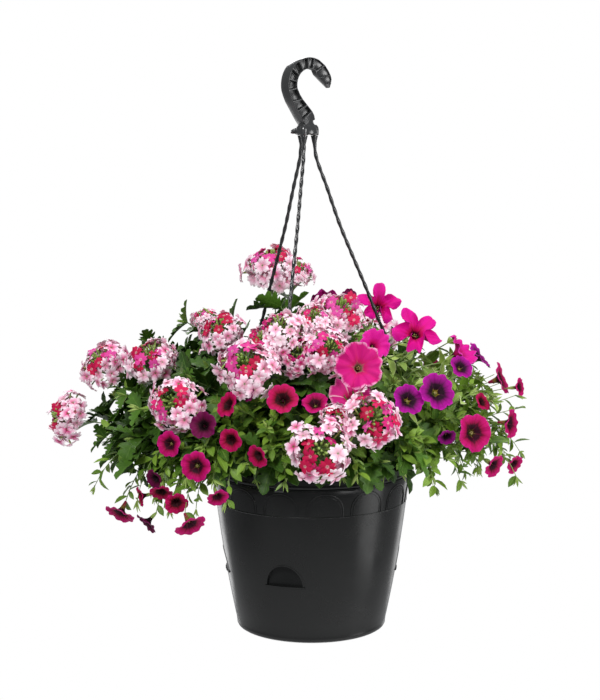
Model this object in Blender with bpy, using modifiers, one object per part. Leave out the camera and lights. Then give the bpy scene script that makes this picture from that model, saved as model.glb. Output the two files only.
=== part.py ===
"""Flowering hanging basket: a plastic pot on three strands and a hook, planted with summer flowers.

Metres, +Z up. Everything is modelled with the pot standing on z = 0 round the Z axis, front towards -Y,
and then hung from one empty so that the world's origin is the point where the hook bears on its support.
Angles round the pot run anticlockwise from +X. A flower's azimuth runs from the front, positive to the right.
"""
import math
import random

import bmesh
import bpy
from mathutils import Matrix, Vector
from mathutils.bvhtree import BVHTree
from mathutils.kdtree import KDTree

# Gap kept between two pieces that touch on the real basket
GAP = 0.0003

# Welding distances for cut solids, the widest first, and for a tube's caps
CUT_MERGES = (0.000002, 0.000001, 0.0000003)
CAP_MERGES = (0.00001,)
# Facets that meet under this angle are one face
FLAT_ANGLE = math.radians(0.4)

# Pot: one moulding, turned
POT_HEIGHT = 0.202
POT_WALL = 0.0022
RIM_WALL = 0.0020
POT_STEPS = 32
FOOT_RADIUS = 0.0895
FOOT_FLARE = 0.0010
FOOT_TOP_Z = 0.0030
FOOT_EDGE = 0.0009
RIM_RADIUS = 0.120
BEAD_BOTTOM_Z = 0.188
BEAD_TOP_Z = 0.194
BEAD_PROUD = 0.0012
BEAD_EDGE = 0.0006
ARCH_BAND_BOTTOM_Z = 0.1575
ARCH_BAND_PROUD = 0.0004
WALL_BULGE = 0.0116
WALL_LEVELS = (0.115, 0.075, 0.035, 0.006)
INNER_LEVELS = (0.11, 0.16)
FLOOR_THICKNESS = 0.0025
FLOOR_ROUND = 0.0020

# Overflow windows: half-moon recesses with a flat sill, in two opposite pairs
WINDOW_ANGLES = (-108.0, 3.0, 72.0, -177.0)
WINDOW_WIDTH = 0.044
WINDOW_HEIGHT = 0.025
WINDOW_SILL_Z = 0.0720
WINDOW_ARC_STEPS = 8
WINDOW_SET_BACK = 0.0012
BOSS_MARGIN = 0.0036
BOSS_PROUD = 0.0010
BOSS_DEPTH = 0.0042
SILL_OVERHANG = 0.0025
SILL_DEPTH = 0.0060
SILL_HEIGHT = 0.0020
SILL_PROUD = 0.0012

# Perforated false floor over the water reservoir, resting on a step in the wall
PLATE_Z = 0.0640
PLATE_THICKNESS = 0.0020
PLATE_STEP = 0.0030
PLATE_STEP_HEIGHT = 0.0060
PLATE_HOLES = 6
PLATE_HOLE_RADIUS = 0.0035
PLATE_HOLE_RING = 0.055

# Soil, and the plain holes that the plants' crowns stand in
SOIL_EDGE_Z = 0.1830
SOIL_DOME = 0.0040
SOIL_STEPS = 20
SOIL_ROUGHNESS = 0.0010
SOIL_CLEARANCE = 0.0016
SOIL_LEVELS = (0.130, 0.112)
SOIL_CORE_RADIUS = 0.0960
SOIL_CORE_TOP_Z = 0.1030
CROWN_RADIUS = 0.0050
CROWN_BOTTOM_Z = 0.1500
CROWN_TOP_Z = 0.1915
STEM_START_Z = 0.1880
STEM_START_RING = 0.0030

# Hook: an open channel with cross ribs, and the collar that takes the strands
HOOK_X = -0.0060
HANG_Z = 0.6720
HOOK_YAW = 38.0
CHANNEL_DEPTH = 0.0153
CHANNEL_WALL = 0.0020
HOOK_CENTRE_Z = 0.6526
HOOK_OUTER_RADIUS = 0.0324
HOOK_INNER_RADIUS = 0.0194
# The channel's inner and outer edge, as distance from the hook's axis and height, at its tip and down its shank
HOOK_TIP = (((0.0270, 0.6500), (0.0290, 0.6500)), ((0.0185, 0.6572), (0.0318, 0.6600)),
            ((0.0080, 0.6660), (0.0285, 0.6680)))
HOOK_SHANK = (((-0.0110, 0.6360), (-0.0262, 0.6330)), ((-0.0040, 0.6290), (-0.0185, 0.6220)),
              ((0.0030, 0.6220), (-0.0110, 0.6110)), ((0.0070, 0.6125), (-0.0070, 0.6060)))
# Where the ribs between the cells stand round the bend
HOOK_CELL_ANGLES = (62, 84, 106, 128, 150, 172, 192)
COLLAR_RADIUS = 0.0110
COLLAR_BOTTOM_Z = 0.5940
COLLAR_TOP_Z = 0.6120
COLLAR_RECESS = 0.0008
LOBE_RADIUS = 0.0050
LOBE_RING = 0.0095
LOBE_TOP_Z = 0.6060
PLUG_RADIUS = 0.0019
PLUG_LENGTH = 0.0060

# Strands: from the collar's lobes to the clips at the rim
STRAND_ANGLES = {"right": 12.0, "back": 132.0, "front": -108.0}
STRAND_RADIUS = 0.0017
STRAND_POINTS = 19
BULB_RADIUS = 0.0042
BULB_LENGTH = 0.0080
CLIP_WIDTH = 0.0110
CLIP_HEIGHT = 0.0130
CLIP_THICKNESS = 0.0032
CLIP_TOP_Z = 0.2010
TONGUE_WIDTH = 0.0046
TONGUE_HEIGHT = 0.0020
TONGUE_Z = 0.1975
TONGUE_DEPTH = 0.0100
SLOT_DEPTH = 0.0140
SLOT_CLEARANCE = 0.0003

# A strand's route: how far down it is, and how far out, as shares of the whole
STRAND_ROUTE = (
    (0.00, 0.00), (0.06, 0.02), (0.15, 0.13), (0.26, 0.26), (0.36, 0.40), (0.45, 0.53), (0.56, 0.68),
    (0.66, 0.82), (0.74, 0.895), (0.82, 0.945), (0.91, 0.98), (1.00, 1.00),
)

# Flower forms, as shares of the flower's radius unless they are lengths
HEAD_CORE = 0.45
HEAD_LIFT = 0.93
HEAD_BASE = 0.95
FLORET_RADIUS = 0.43
FLORET_POINTS = 10
FLORET_NOTCH = 0.66
TRUMPET_POINTS = {"calibrachoa": 10, "petunia": 15}
TRUMPET_LENGTH = {"calibrachoa": 0.017, "petunia": 0.032}
LOBE_SHAPES = {"round": (1.0, 0.86), "broad": (0.84, 1.0, 1.0), "star": (0.52, 0.97, 0.97)}

FIRST_HEAD_SEED = 100
FIRST_TRUMPET_SEED = 200

STEM_SIDES = 3
STEM_RADII = {"verbena": 0.0014, "calibrachoa": 0.0011, "petunia": 0.0018}
STEM_SEGMENTS = 5
STEM_CLEARANCE = 0.0009
STEM_APART = 0.0012
STEM_TAPER = 0.35
ROUTE_DRAWS = 1500
# How a stem leaves its crown: its least rise, what a draw may add, and more for a flower that hangs low
LEAST_RISE = 0.055
MORE_RISE = 0.090
LOW_FLOWER_Z = 0.26
TRAIL_HEIGHT = 0.03
SWAY = 0.022

# Verbena heads: name, centre, azimuth, elevation, radius, florets
VERBENA_HEADS = (
    ("verbena_head_01", (-0.290, -0.012, 0.256), -65, 15, 0.0285, 14),
    ("verbena_head_02", (-0.248, 0.000, 0.318), -45, 40, 0.0275, 13),
    ("verbena_head_03", (-0.188, -0.040, 0.328), -25, 50, 0.0290, 14),
    ("verbena_head_04", (-0.152, -0.135, 0.293), -20, 15, 0.0290, 14),
    ("verbena_head_05", (-0.049, 0.098, 0.425), -10, 70, 0.0340, 14),
    ("verbena_head_06", (-0.104, -0.060, 0.364), -30, 50, 0.0250, 12),
    ("verbena_head_07", (-0.072, -0.139, 0.334), -20, 30, 0.0330, 15),
    ("verbena_head_08", (-0.034, -0.118, 0.372), -20, 50, 0.0260, 13),
    ("verbena_head_09", (0.031, -0.066, 0.386), 20, 50, 0.0280, 13),
    ("verbena_head_10", (0.016, -0.130, 0.352), 10, 35, 0.0260, 13),
    ("verbena_head_11", (0.008, -0.197, 0.253), 0, 12, 0.0330, 15),
    ("verbena_head_12", (0.065, -0.180, 0.282), 15, 22, 0.0310, 15),
    ("verbena_head_13", (0.085, 0.150, 0.335), 150, 40, 0.0290, 14),
    ("verbena_head_14", (-0.120, 0.155, 0.300), -145, 30, 0.0310, 14),
    ("verbena_head_15", (0.005, 0.205, 0.262), 178, 15, 0.0320, 14),
)

# Trumpet flowers: name, centre of the face, azimuth, elevation, radius, lobes, colour
CALIBRACHOAS = (
    ("calibrachoa_01", (-0.033, -0.175, 0.306), -5, 35, 0.0185, "crimson_petal"),
    ("calibrachoa_02", (0.003, -0.161, 0.299), -5, 50, 0.0155, "magenta_petal"),
    ("calibrachoa_03", (-0.094, -0.170, 0.299), -50, 25, 0.0155, "crimson_petal"),
    ("calibrachoa_04", (-0.121, -0.172, 0.276), -15, 20, 0.0160, "wine_petal"),
    ("calibrachoa_05", (-0.160, -0.157, 0.252), -25, 5, 0.0155, "magenta_petal"),
    ("calibrachoa_06", (-0.129, -0.180, 0.231), -15, 0, 0.0180, "magenta_petal"),
    ("calibrachoa_07", (0.108, -0.148, 0.301), 20, 30, 0.0190, "purple_petal"),
    ("calibrachoa_08", (0.141, -0.136, 0.308), 25, 25, 0.0225, "purple_petal"),
    ("calibrachoa_09", (0.183, -0.137, 0.261), 30, 10, 0.0230, "magenta_petal"),
    ("calibrachoa_10", (0.228, -0.014, 0.305), 75, 20, 0.0210, "magenta_petal"),
    ("calibrachoa_11", (0.204, 0.010, 0.329), 80, 40, 0.0200, "purple_petal"),
    ("calibrachoa_12", (0.232, -0.080, 0.262), 60, 0, 0.0180, "magenta_petal"),
    ("calibrachoa_13", (-0.090, -0.186, 0.262), -20, -5, 0.0140, "crimson_petal"),
    ("calibrachoa_14", (-0.060, -0.198, 0.246), -40, -15, 0.0140, "crimson_petal"),
    ("calibrachoa_15", (-0.222, -0.105, 0.160), -35, -50, 0.0190, "magenta_petal"),
    ("calibrachoa_16", (-0.188, -0.142, 0.158), -60, -40, 0.0150, "wine_petal"),
    ("calibrachoa_17", (-0.170, -0.155, 0.196), -5, -45, 0.0140, "crimson_petal"),
    ("calibrachoa_18", (-0.136, -0.176, 0.163), 35, -45, 0.0190, "magenta_petal"),
    ("calibrachoa_19", (0.172, -0.092, 0.330), 30, 35, 0.0150, "purple_petal"),
    ("calibrachoa_20", (0.208, -0.122, 0.220), 45, -20, 0.0150, "magenta_petal"),
    ("calibrachoa_21", (0.155, 0.120, 0.300), 130, 30, 0.0190, "magenta_petal"),
    ("calibrachoa_22", (0.205, 0.085, 0.225), 110, 0, 0.0180, "purple_petal"),
    ("calibrachoa_23", (-0.205, 0.100, 0.225), -120, 5, 0.0190, "crimson_petal"),
    ("calibrachoa_24", (-0.080, 0.195, 0.195), -160, -10, 0.0180, "magenta_petal"),
)
PETUNIAS = (
    ("petunia_01", (0.126, -0.012, 0.362), 15, 40, 0.0340, "star"),
    ("petunia_02", (0.180, -0.020, 0.341), 70, 40, 0.0225, "broad"),
    ("petunia_03", (0.083, 0.048, 0.388), 10, 35, 0.0300, "star"),
    ("petunia_04", (0.052, -0.165, 0.341), 5, 20, 0.0280, "broad"),
    ("petunia_05", (0.044, -0.130, 0.304), 0, 50, 0.0260, "broad"),
    ("petunia_06", (0.073, -0.100, 0.358), 25, 30, 0.0190, "broad"),
    ("petunia_07", (0.030, 0.150, 0.375), 175, 45, 0.0320, "broad"),
)

# Plants: kind, crown, the flowers each carries, and the tips of its leafy shoots
PLANTS = {
    "verbena_left": {
        "kind": "verbena", "crown": (-0.060, 0.000), "leaves": 20, "seed": 11,
        "flowers": ("verbena_head_01", "verbena_head_02", "verbena_head_03", "verbena_head_04"),
        "shoots": ((-0.245, -0.050, 0.240), (-0.215, 0.030, 0.300), (-0.165, -0.095, 0.330),
                   (-0.205, -0.100, 0.215)),
    },
    "verbena_centre": {
        "kind": "verbena", "crown": (-0.010, -0.045), "leaves": 18, "seed": 12,
        "flowers": ("verbena_head_06", "verbena_head_07", "verbena_head_08", "verbena_head_09",
                    "verbena_head_10", "verbena_head_11", "verbena_head_12"),
        "shoots": ((0.075, -0.170, 0.235), (-0.050, -0.160, 0.235), (0.115, -0.120, 0.265)),
    },
    "verbena_back": {
        "kind": "verbena", "crown": (-0.010, 0.055), "leaves": 18, "seed": 13,
        "flowers": ("verbena_head_05", "verbena_head_13", "verbena_head_14", "verbena_head_15"),
        "shoots": ((-0.170, 0.120, 0.285), (0.150, 0.145, 0.250), (-0.050, 0.190, 0.260)),
    },
    "calibrachoa_left": {
        "kind": "calibrachoa", "crown": (-0.070, -0.045), "leaves": 18, "seed": 21,
        "flowers": ("calibrachoa_01", "calibrachoa_03", "calibrachoa_04", "calibrachoa_05",
                    "calibrachoa_06", "calibrachoa_13", "calibrachoa_14", "calibrachoa_15",
                    "calibrachoa_16", "calibrachoa_17", "calibrachoa_18"),
        "shoots": ((-0.255, -0.070, 0.185), (-0.095, -0.170, 0.170)),
    },
    "calibrachoa_right": {
        "kind": "calibrachoa", "crown": (0.070, -0.040), "leaves": 20, "seed": 22,
        "flowers": ("calibrachoa_02", "calibrachoa_07", "calibrachoa_08", "calibrachoa_09",
                    "calibrachoa_10", "calibrachoa_11", "calibrachoa_12", "calibrachoa_19",
                    "calibrachoa_20"),
        "shoots": ((0.250, -0.045, 0.275), (0.235, -0.110, 0.205), (0.150, -0.150, 0.235)),
    },
    "calibrachoa_back": {
        "kind": "calibrachoa", "crown": (0.020, 0.090), "leaves": 18, "seed": 23,
        "flowers": ("calibrachoa_21", "calibrachoa_22", "calibrachoa_23", "calibrachoa_24"),
        "shoots": ((0.230, 0.040, 0.210), (0.130, 0.170, 0.190), (-0.160, 0.160, 0.180),
                   (-0.245, 0.050, 0.210)),
    },
    "petunia_plant": {
        "kind": "petunia", "crown": (0.050, 0.020), "leaves": 12, "seed": 31,
        "flowers": ("petunia_01", "petunia_02", "petunia_03", "petunia_04", "petunia_05", "petunia_06",
                    "petunia_07"),
        "shoots": ((0.190, 0.050, 0.300), (0.110, 0.090, 0.345)),
    },
}

# Leaves: length, width, rib thickness, share of teeth cut in, arch of the blade
LEAF_KINDS = {
    "verbena": (0.040, 0.019, 0.0016, 0.24, 0.16),
    "calibrachoa": (0.022, 0.0095, 0.0014, 0.0, 0.12),
    "petunia": (0.042, 0.021, 0.0016, 0.0, 0.18),
}
LEAF_SIDES = {"verbena": 10, "calibrachoa": 6, "petunia": 8}
LEAF_MARGIN = 0.0007
# The stretch of a stem that bears leaves
LEAFY_STRETCH = (0.25, 0.97)
# The thickest place of the blade, as a share of its length, and how deep a leaf's root sits in the stem
RIB_PLACE = 0.34
ROOT_DEPTH = 0.0010
TIP_ROOT_DEPTH = 0.0025

# Plain colours, roughness and metallic value of each finish
FINISHES = {
    "pot_plastic": ((0.020, 0.021, 0.022), 0.38, 0.0),
    "plate_plastic": ((0.03, 0.03, 0.03), 0.5, 0.0),
    "hook_plastic": ((0.030, 0.032, 0.034), 0.32, 0.0),
    "strand_plastic": ((0.030, 0.032, 0.034), 0.35, 0.0),
    "soil": ((0.035, 0.022, 0.014), 0.95, 0.0),
    "verbena_petal": ((0.86, 0.47, 0.62), 0.6, 0.0),
    "crimson_petal": ((0.42, 0.005, 0.06), 0.55, 0.0),
    "magenta_petal": ((0.55, 0.01, 0.25), 0.55, 0.0),
    "purple_petal": ((0.38, 0.01, 0.24), 0.55, 0.0),
    "wine_petal": ((0.16, 0.005, 0.05), 0.55, 0.0),
    "petunia_petal": ((0.62, 0.02, 0.26), 0.55, 0.0),
    "verbena_leaf": ((0.05, 0.14, 0.03), 0.6, 0.0),
    "calibrachoa_leaf": ((0.10, 0.22, 0.04), 0.6, 0.0),
    "petunia_leaf": ((0.09, 0.20, 0.04), 0.6, 0.0),
}


def material(finish):
    """The plain Principled material of a finish, made once."""
    if finish in bpy.data.materials:
        return bpy.data.materials[finish]
    colour, roughness, metallic = FINISHES[finish]
    made = bpy.data.materials.new(finish)
    made.use_nodes = True
    shader = made.node_tree.nodes["Principled BSDF"]
    shader.inputs["Base Color"].default_value = (*colour, 1.0)
    shader.inputs["Roughness"].default_value = roughness
    shader.inputs["Metallic"].default_value = metallic
    made.diffuse_color = (*colour, 1.0)
    return made


def new_collection(name):
    made = bpy.data.collections.new(name)
    bpy.context.scene.collection.children.link(made)
    return made


def new_object(name, mesh, collection, finish=None):
    made = bpy.data.objects.new(name, mesh)
    collection.objects.link(made)
    if finish:
        mesh.materials.clear()
        mesh.materials.append(material(finish))
    return made


def mesh_from(bm, name):
    """A mesh of the bmesh, triangulated and facing out."""
    bmesh.ops.recalc_face_normals(bm, faces=bm.faces)
    bmesh.ops.triangulate(bm, faces=bm.faces)
    mesh = bpy.data.meshes.new(name)
    bm.to_mesh(mesh)
    bm.free()
    return mesh


def in_order(bm):
    """The same mesh, with its points and faces in an order that depends on their places alone."""
    points = sorted(bm.verts, key=lambda vertex: tuple(round(value, 6) for value in vertex.co))
    number = {vertex: index for index, vertex in enumerate(points)}
    faces = []
    for face in bm.faces:
        corners = [number[vertex] for vertex in face.verts]
        first = corners.index(min(corners))
        faces.append(corners[first:] + corners[:first])
    ordered = bmesh.new()
    made = [ordered.verts.new(vertex.co) for vertex in points]
    for corners in sorted(faces):
        ordered.faces.new([made[index] for index in corners])
    ordered.normal_update()
    bm.free()
    return ordered


def evaluated_mesh(source, merges):
    """The object's mesh after its modifiers, welded at the first distance that leaves it closed."""
    bpy.context.view_layer.update()
    graph = bpy.context.evaluated_depsgraph_get()
    mesh = bpy.data.meshes.new_from_object(source.evaluated_get(graph))
    for merge in merges:
        bm = bmesh.new()
        bm.from_mesh(mesh)
        bmesh.ops.remove_doubles(bm, verts=bm.verts, dist=merge)
        bm = in_order(bm)
        bmesh.ops.dissolve_limit(bm, angle_limit=FLAT_ANGLE, verts=bm.verts, edges=bm.edges)
        bmesh.ops.triangulate(bm, faces=bm.faces)
        if all(edge.is_manifold for edge in bm.edges):
            break
    bm.to_mesh(mesh)
    bm.free()
    return mesh


def remove(*objects):
    for item in objects:
        bpy.data.objects.remove(item)


def hide_cutter(cutter):
    cutter.hide_render = True
    cutter.display_type = 'WIRE'


def boolean(target, other, operation):
    change = target.modifiers.new(operation.lower(), 'BOOLEAN')
    change.operation = operation
    change.object = other
    change.solver = 'MANIFOLD'


def apply_all(target):
    """Bake the target's modifiers into its own mesh."""
    mesh = evaluated_mesh(target, CUT_MERGES)
    target.modifiers.clear()
    target.data = mesh


def union_of(collection, base):
    """Join the base with everything in the collection, and remove what was joined."""
    join = base.modifiers.new("join", 'BOOLEAN')
    join.operation = 'UNION'
    join.operand_type = 'COLLECTION'
    join.collection = collection
    join.solver = 'MANIFOLD'
    apply_all(base)
    remove(*list(collection.objects))
    keep_largest_body(base)


def keep_largest_body(target):
    """Drop scraps that the union left loose."""
    bm = bmesh.new()
    bm.from_mesh(target.data)
    seen = set()
    bodies = []
    for start in bm.faces:
        if start in seen:
            continue
        body = []
        pile = [start]
        seen.add(start)
        while pile:
            face = pile.pop()
            body.append(face)
            for edge in face.edges:
                for neighbour in edge.link_faces:
                    if neighbour not in seen:
                        seen.add(neighbour)
                        pile.append(neighbour)
        bodies.append(body)
    bodies.sort(key=len)
    loose = [face for body in bodies[:-1] for face in body]
    bmesh.ops.delete(bm, geom=loose, context='FACES')
    bm.to_mesh(target.data)
    bm.free()


def direction(azimuth, elevation):
    """The unit vector that a flower faces."""
    turn, rise = math.radians(azimuth), math.radians(elevation)
    return Vector((math.sin(turn) * math.cos(rise), -math.cos(turn) * math.cos(rise), math.sin(rise)))


def facing(place, towards):
    """A frame at the place whose Z axis points along towards."""
    return Matrix.Translation(place) @ Vector(towards).to_track_quat('Z', 'Y').to_matrix().to_4x4()


def round_pot(radius, angle, z):
    turn = math.radians(angle)
    return Vector((radius * math.cos(turn), radius * math.sin(turn), z))


def smooth_route(points, count):
    """Points evenly spread along a Catmull-Rom curve through the route's own points."""
    ends = [2 * points[0] - points[1], *points, 2 * points[-1] - points[-2]]
    dense = []
    for index in range(1, len(ends) - 2):
        before, here, there, after = ends[index - 1:index + 3]
        for step in range(12):
            t = step / 12
            dense.append(0.5 * (2 * here + (there - before) * t
                                + (2 * before - 5 * here + 4 * there - after) * t * t
                                + (3 * here - before - 3 * there + after) * t ** 3))
    dense.append(ends[-2])
    return evenly(dense, count)


def evenly(dense, count):
    """Resample a dense polyline to count points at equal distances."""
    lengths = [0.0]
    for here, there in zip(dense, dense[1:]):
        lengths.append(lengths[-1] + (there - here).length)
    picked = []
    index = 0
    for step in range(count):
        target = lengths[-1] * step / (count - 1)
        while index < len(dense) - 2 and lengths[index + 1] < target:
            index += 1
        span = lengths[index + 1] - lengths[index]
        share = (target - lengths[index]) / span if span else 0.0
        picked.append(dense[index].lerp(dense[index + 1], min(max(share, 0.0), 1.0)))
    return picked


def tube(name, points, radii, sides, collection):
    """A round stem or strand through the points, as a closed mesh."""
    profile = bpy.data.curves.new("profile", 'CURVE')
    profile.dimensions = '2D'
    ring = profile.splines.new('POLY')
    ring.points.add(sides - 1)
    for index, point in enumerate(ring.points):
        turn = 2 * math.pi * index / sides
        point.co = (math.cos(turn), math.sin(turn), 0.0, 1.0)
    ring.use_cyclic_u = True
    outline = bpy.data.objects.new("profile", profile)
    collection.objects.link(outline)
    curve = bpy.data.curves.new(name, 'CURVE')
    curve.dimensions = '3D'
    curve.bevel_mode = 'OBJECT'
    curve.bevel_object = outline
    curve.use_fill_caps = True
    spline = curve.splines.new('POLY')
    spline.points.add(len(points) - 1)
    for point, place, radius in zip(spline.points, points, radii):
        point.co = (*place, 1.0)
        point.radius = radius
    made = bpy.data.objects.new(name, curve)
    collection.objects.link(made)
    mesh = evaluated_mesh(made, CAP_MERGES)
    remove(made, outline)
    bm = bmesh.new()
    bm.from_mesh(mesh)
    return mesh_from(bm, name)


def turned(name, profile, steps, collection, finish):
    """A solid turned round Z from a profile whose two ends lie on the axis."""
    mesh = bpy.data.meshes.new(name)
    bm = bmesh.new()
    points = [bm.verts.new((radius, 0.0, z)) for radius, z in profile]
    for here, there in zip(points, points[1:]):
        bm.edges.new((here, there))
    bm.to_mesh(mesh)
    bm.free()
    made = new_object(name, mesh, collection, finish)
    screw = made.modifiers.new("turn", 'SCREW')
    screw.axis = 'Z'
    screw.angle = 2 * math.pi
    screw.steps = steps
    screw.render_steps = steps
    screw.use_merge_vertices = True
    screw.merge_threshold = 0.00001
    return made


def box(name, size, place, collection, frame=None):
    bm = bmesh.new()
    bmesh.ops.create_cube(bm, size=1.0)
    bmesh.ops.scale(bm, vec=size, verts=bm.verts)
    bmesh.ops.translate(bm, vec=place, verts=bm.verts)
    if frame:
        bmesh.ops.transform(bm, matrix=frame, verts=bm.verts)
    return new_object(name, mesh_from(bm, name), collection)


def rod(name, radius, bottom, top, sides, place, collection, top_radius=None):
    bm = bmesh.new()
    bmesh.ops.create_cone(bm, cap_ends=True, segments=sides, radius1=radius,
                          radius2=radius if top_radius is None else top_radius, depth=top - bottom)
    bmesh.ops.translate(bm, vec=(place[0], place[1], (top + bottom) / 2), verts=bm.verts)
    return new_object(name, mesh_from(bm, name), collection)


def wall_radius(z):
    """Outer radius of the pot's wall, a slightly bulging taper."""
    share = z / BEAD_BOTTOM_Z
    return (FOOT_RADIUS + (RIM_RADIUS - BEAD_PROUD / 2 - FOOT_RADIUS) * share
            + WALL_BULGE * share * (1 - share))


def pot_profile():
    """Inside floor, up the inner wall, over the rim and down the outer wall to the underside."""
    floor_radius = wall_radius(FLOOR_THICKNESS) - POT_WALL - FLOOR_ROUND
    step_radius = wall_radius(PLATE_Z) - POT_WALL - PLATE_STEP
    lip_radius = RIM_RADIUS - BEAD_PROUD
    inner = [(0.0, FLOOR_THICKNESS), (floor_radius, FLOOR_THICKNESS)]
    inner += [(step_radius, PLATE_Z - PLATE_STEP_HEIGHT), (step_radius, PLATE_Z)]
    inner += [(step_radius + PLATE_STEP, PLATE_Z)]
    inner += [(wall_radius(z) - POT_WALL, z) for z in INNER_LEVELS]
    inner += [(lip_radius - RIM_WALL, BEAD_TOP_Z), (lip_radius - RIM_WALL, POT_HEIGHT)]
    outer = [(lip_radius, POT_HEIGHT), (lip_radius, BEAD_TOP_Z + BEAD_EDGE)]
    outer += [(RIM_RADIUS, BEAD_TOP_Z), (RIM_RADIUS, BEAD_BOTTOM_Z + BEAD_EDGE)]
    outer += [(wall_radius(z), z) for z in (BEAD_BOTTOM_Z, ARCH_BAND_BOTTOM_Z)]
    outer += [(wall_radius(ARCH_BAND_BOTTOM_Z) - BEAD_EDGE, ARCH_BAND_BOTTOM_Z - BEAD_EDGE)]
    outer += [(wall_radius(z) - ARCH_BAND_PROUD, z) for z in WALL_LEVELS]
    outer += [(FOOT_RADIUS + FOOT_FLARE, FOOT_TOP_Z), (FOOT_RADIUS + FOOT_FLARE / 2, FOOT_EDGE)]
    outer += [(FOOT_RADIUS - FOOT_EDGE, 0.0), (0.0, 0.0)]
    return inner + outer


def half_moon(name, width, height, inner, outer, z, angle, collection):
    """A half-moon prism standing on its flat side, from one distance off the axis to another."""
    bm = bmesh.new()
    ring = []
    for step in range(WINDOW_ARC_STEPS + 1):
        turn = math.pi * step / WINDOW_ARC_STEPS
        ring.append(bm.verts.new((inner, width / 2 * math.cos(turn), z + height * math.sin(turn))))
    face = bm.faces.new(ring)
    moved = bmesh.ops.extrude_face_region(bm, geom=[face])["geom"]
    far = [item for item in moved if isinstance(item, bmesh.types.BMVert)]
    bmesh.ops.translate(bm, vec=(outer - inner, 0, 0), verts=far)
    bmesh.ops.rotate(bm, cent=(0, 0, 0), matrix=Matrix.Rotation(math.radians(angle), 3, 'Z'), verts=bm.verts)
    return new_object(name, mesh_from(bm, name), collection)


def cut_window(pot, number, angle, cutters):
    """A thick boss behind the wall, the half-moon recess cut in it and the sill under it."""
    turn = Matrix.Rotation(math.radians(angle), 4, 'Z')
    sill_radius = wall_radius(WINDOW_SILL_Z)
    back = sill_radius - WINDOW_SET_BACK
    outside = wall_radius(WINDOW_SILL_Z + WINDOW_HEIGHT) + WINDOW_HEIGHT / 2
    boss = half_moon(f"boss_{number}", WINDOW_WIDTH + 2 * BOSS_MARGIN, WINDOW_HEIGHT + BOSS_MARGIN,
                     back - BOSS_DEPTH, back + BOSS_PROUD, WINDOW_SILL_Z - SILL_HEIGHT * 0.75, angle, cutters)
    recess = half_moon(f"recess_{number}", WINDOW_WIDTH, WINDOW_HEIGHT, back, outside, WINDOW_SILL_Z, angle,
                       cutters)
    sill_place = (sill_radius + SILL_PROUD - SILL_DEPTH / 2, 0, WINDOW_SILL_Z - SILL_HEIGHT * 0.6)
    sill = box(f"sill_{number}", (SILL_DEPTH, WINDOW_WIDTH + 2 * SILL_OVERHANG, SILL_HEIGHT), sill_place,
               cutters, turn)
    for piece in (boss, recess, sill):
        hide_cutter(piece)
    boolean(pot, boss, 'UNION')
    boolean(pot, recess, 'DIFFERENCE')
    boolean(pot, sill, 'UNION')


def make_pot(parts, cutters):
    pot = turned("pot", pot_profile(), POT_STEPS, parts, "pot_plastic")
    for number, angle in enumerate(WINDOW_ANGLES, 1):
        cut_window(pot, number, angle, cutters)
    slot_size = (SLOT_DEPTH, TONGUE_WIDTH + 2 * SLOT_CLEARANCE, TONGUE_HEIGHT + 2 * SLOT_CLEARANCE)
    for name, angle in STRAND_ANGLES.items():
        turn = Matrix.Rotation(math.radians(angle), 4, 'Z')
        slot = box(f"slot_{name}", slot_size, (RIM_RADIUS, 0, TONGUE_Z), cutters, turn)
        hide_cutter(slot)
        boolean(pot, slot, 'DIFFERENCE')
    apply_all(pot)
    return pot


def make_plate(parts, cutters):
    """The false floor, with its ring of drain holes."""
    radius = wall_radius(PLATE_Z) - POT_WALL - 2 * GAP
    bottom = PLATE_Z + GAP
    top = bottom + PLATE_THICKNESS
    profile = [(0.0, top), (radius, top), (radius, bottom), (0.0, bottom)]
    plate = turned("reservoir_plate", profile, SOIL_STEPS, parts, "plate_plastic")
    for number in range(PLATE_HOLES):
        place = round_pot(PLATE_HOLE_RING, 360 * number / PLATE_HOLES, 0)
        hole = rod(f"drain_{number}", PLATE_HOLE_RADIUS, bottom - PLATE_THICKNESS, top + PLATE_THICKNESS, 6,
                   place, cutters)
        hide_cutter(hole)
        boolean(plate, hole, 'DIFFERENCE')
    apply_all(plate)
    return plate


def make_soil(parts, cutters):
    """The fill, crumbly on top, with a hole for each crown."""
    bottom = PLATE_Z + GAP + PLATE_THICKNESS + GAP
    edge = wall_radius(SOIL_EDGE_Z) - POT_WALL - SOIL_CLEARANCE
    top = [(edge * share, SOIL_EDGE_Z + SOIL_DOME * (1 - share ** 2)) for share in (0, 0.27, 0.53, 0.77, 1)]
    side = [(wall_radius(z) - POT_WALL - SOIL_CLEARANCE, z) for z in SOIL_LEVELS]
    side += [(SOIL_CORE_RADIUS, SOIL_CORE_TOP_Z), (SOIL_CORE_RADIUS, bottom), (0.0, bottom)]
    soil = turned("soil", top + side, SOIL_STEPS, parts, "soil")
    apply_all(soil)
    rng = random.Random(5)
    for vertex in soil.data.vertices:
        if vertex.co.z > SOIL_EDGE_Z + 0.0001:
            vertex.co.z += rng.uniform(-SOIL_ROUGHNESS, SOIL_ROUGHNESS)
    for name, plant in PLANTS.items():
        hole = rod(f"hole_{name}", CROWN_RADIUS + 2 * GAP, CROWN_BOTTOM_Z - GAP, SOIL_EDGE_Z + 0.02, 8,
                   plant["crown"], cutters)
        hide_cutter(hole)
        boolean(soil, hole, 'DIFFERENCE')
    apply_all(soil)
    return soil


def hook_stations():
    """Pairs of points, inner and outer, along the hook from its tip to the collar, in its own plane."""
    pairs = list(HOOK_TIP)
    for turn in HOOK_CELL_ANGLES:
        angle = math.radians(turn)
        inner = (HOOK_INNER_RADIUS * math.cos(angle), HOOK_CENTRE_Z + HOOK_INNER_RADIUS * math.sin(angle))
        outer = (HOOK_OUTER_RADIUS * math.cos(angle), HOOK_CENTRE_Z + HOOK_OUTER_RADIUS * math.sin(angle))
        pairs.append((inner, outer))
    return pairs + list(HOOK_SHANK)


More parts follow.
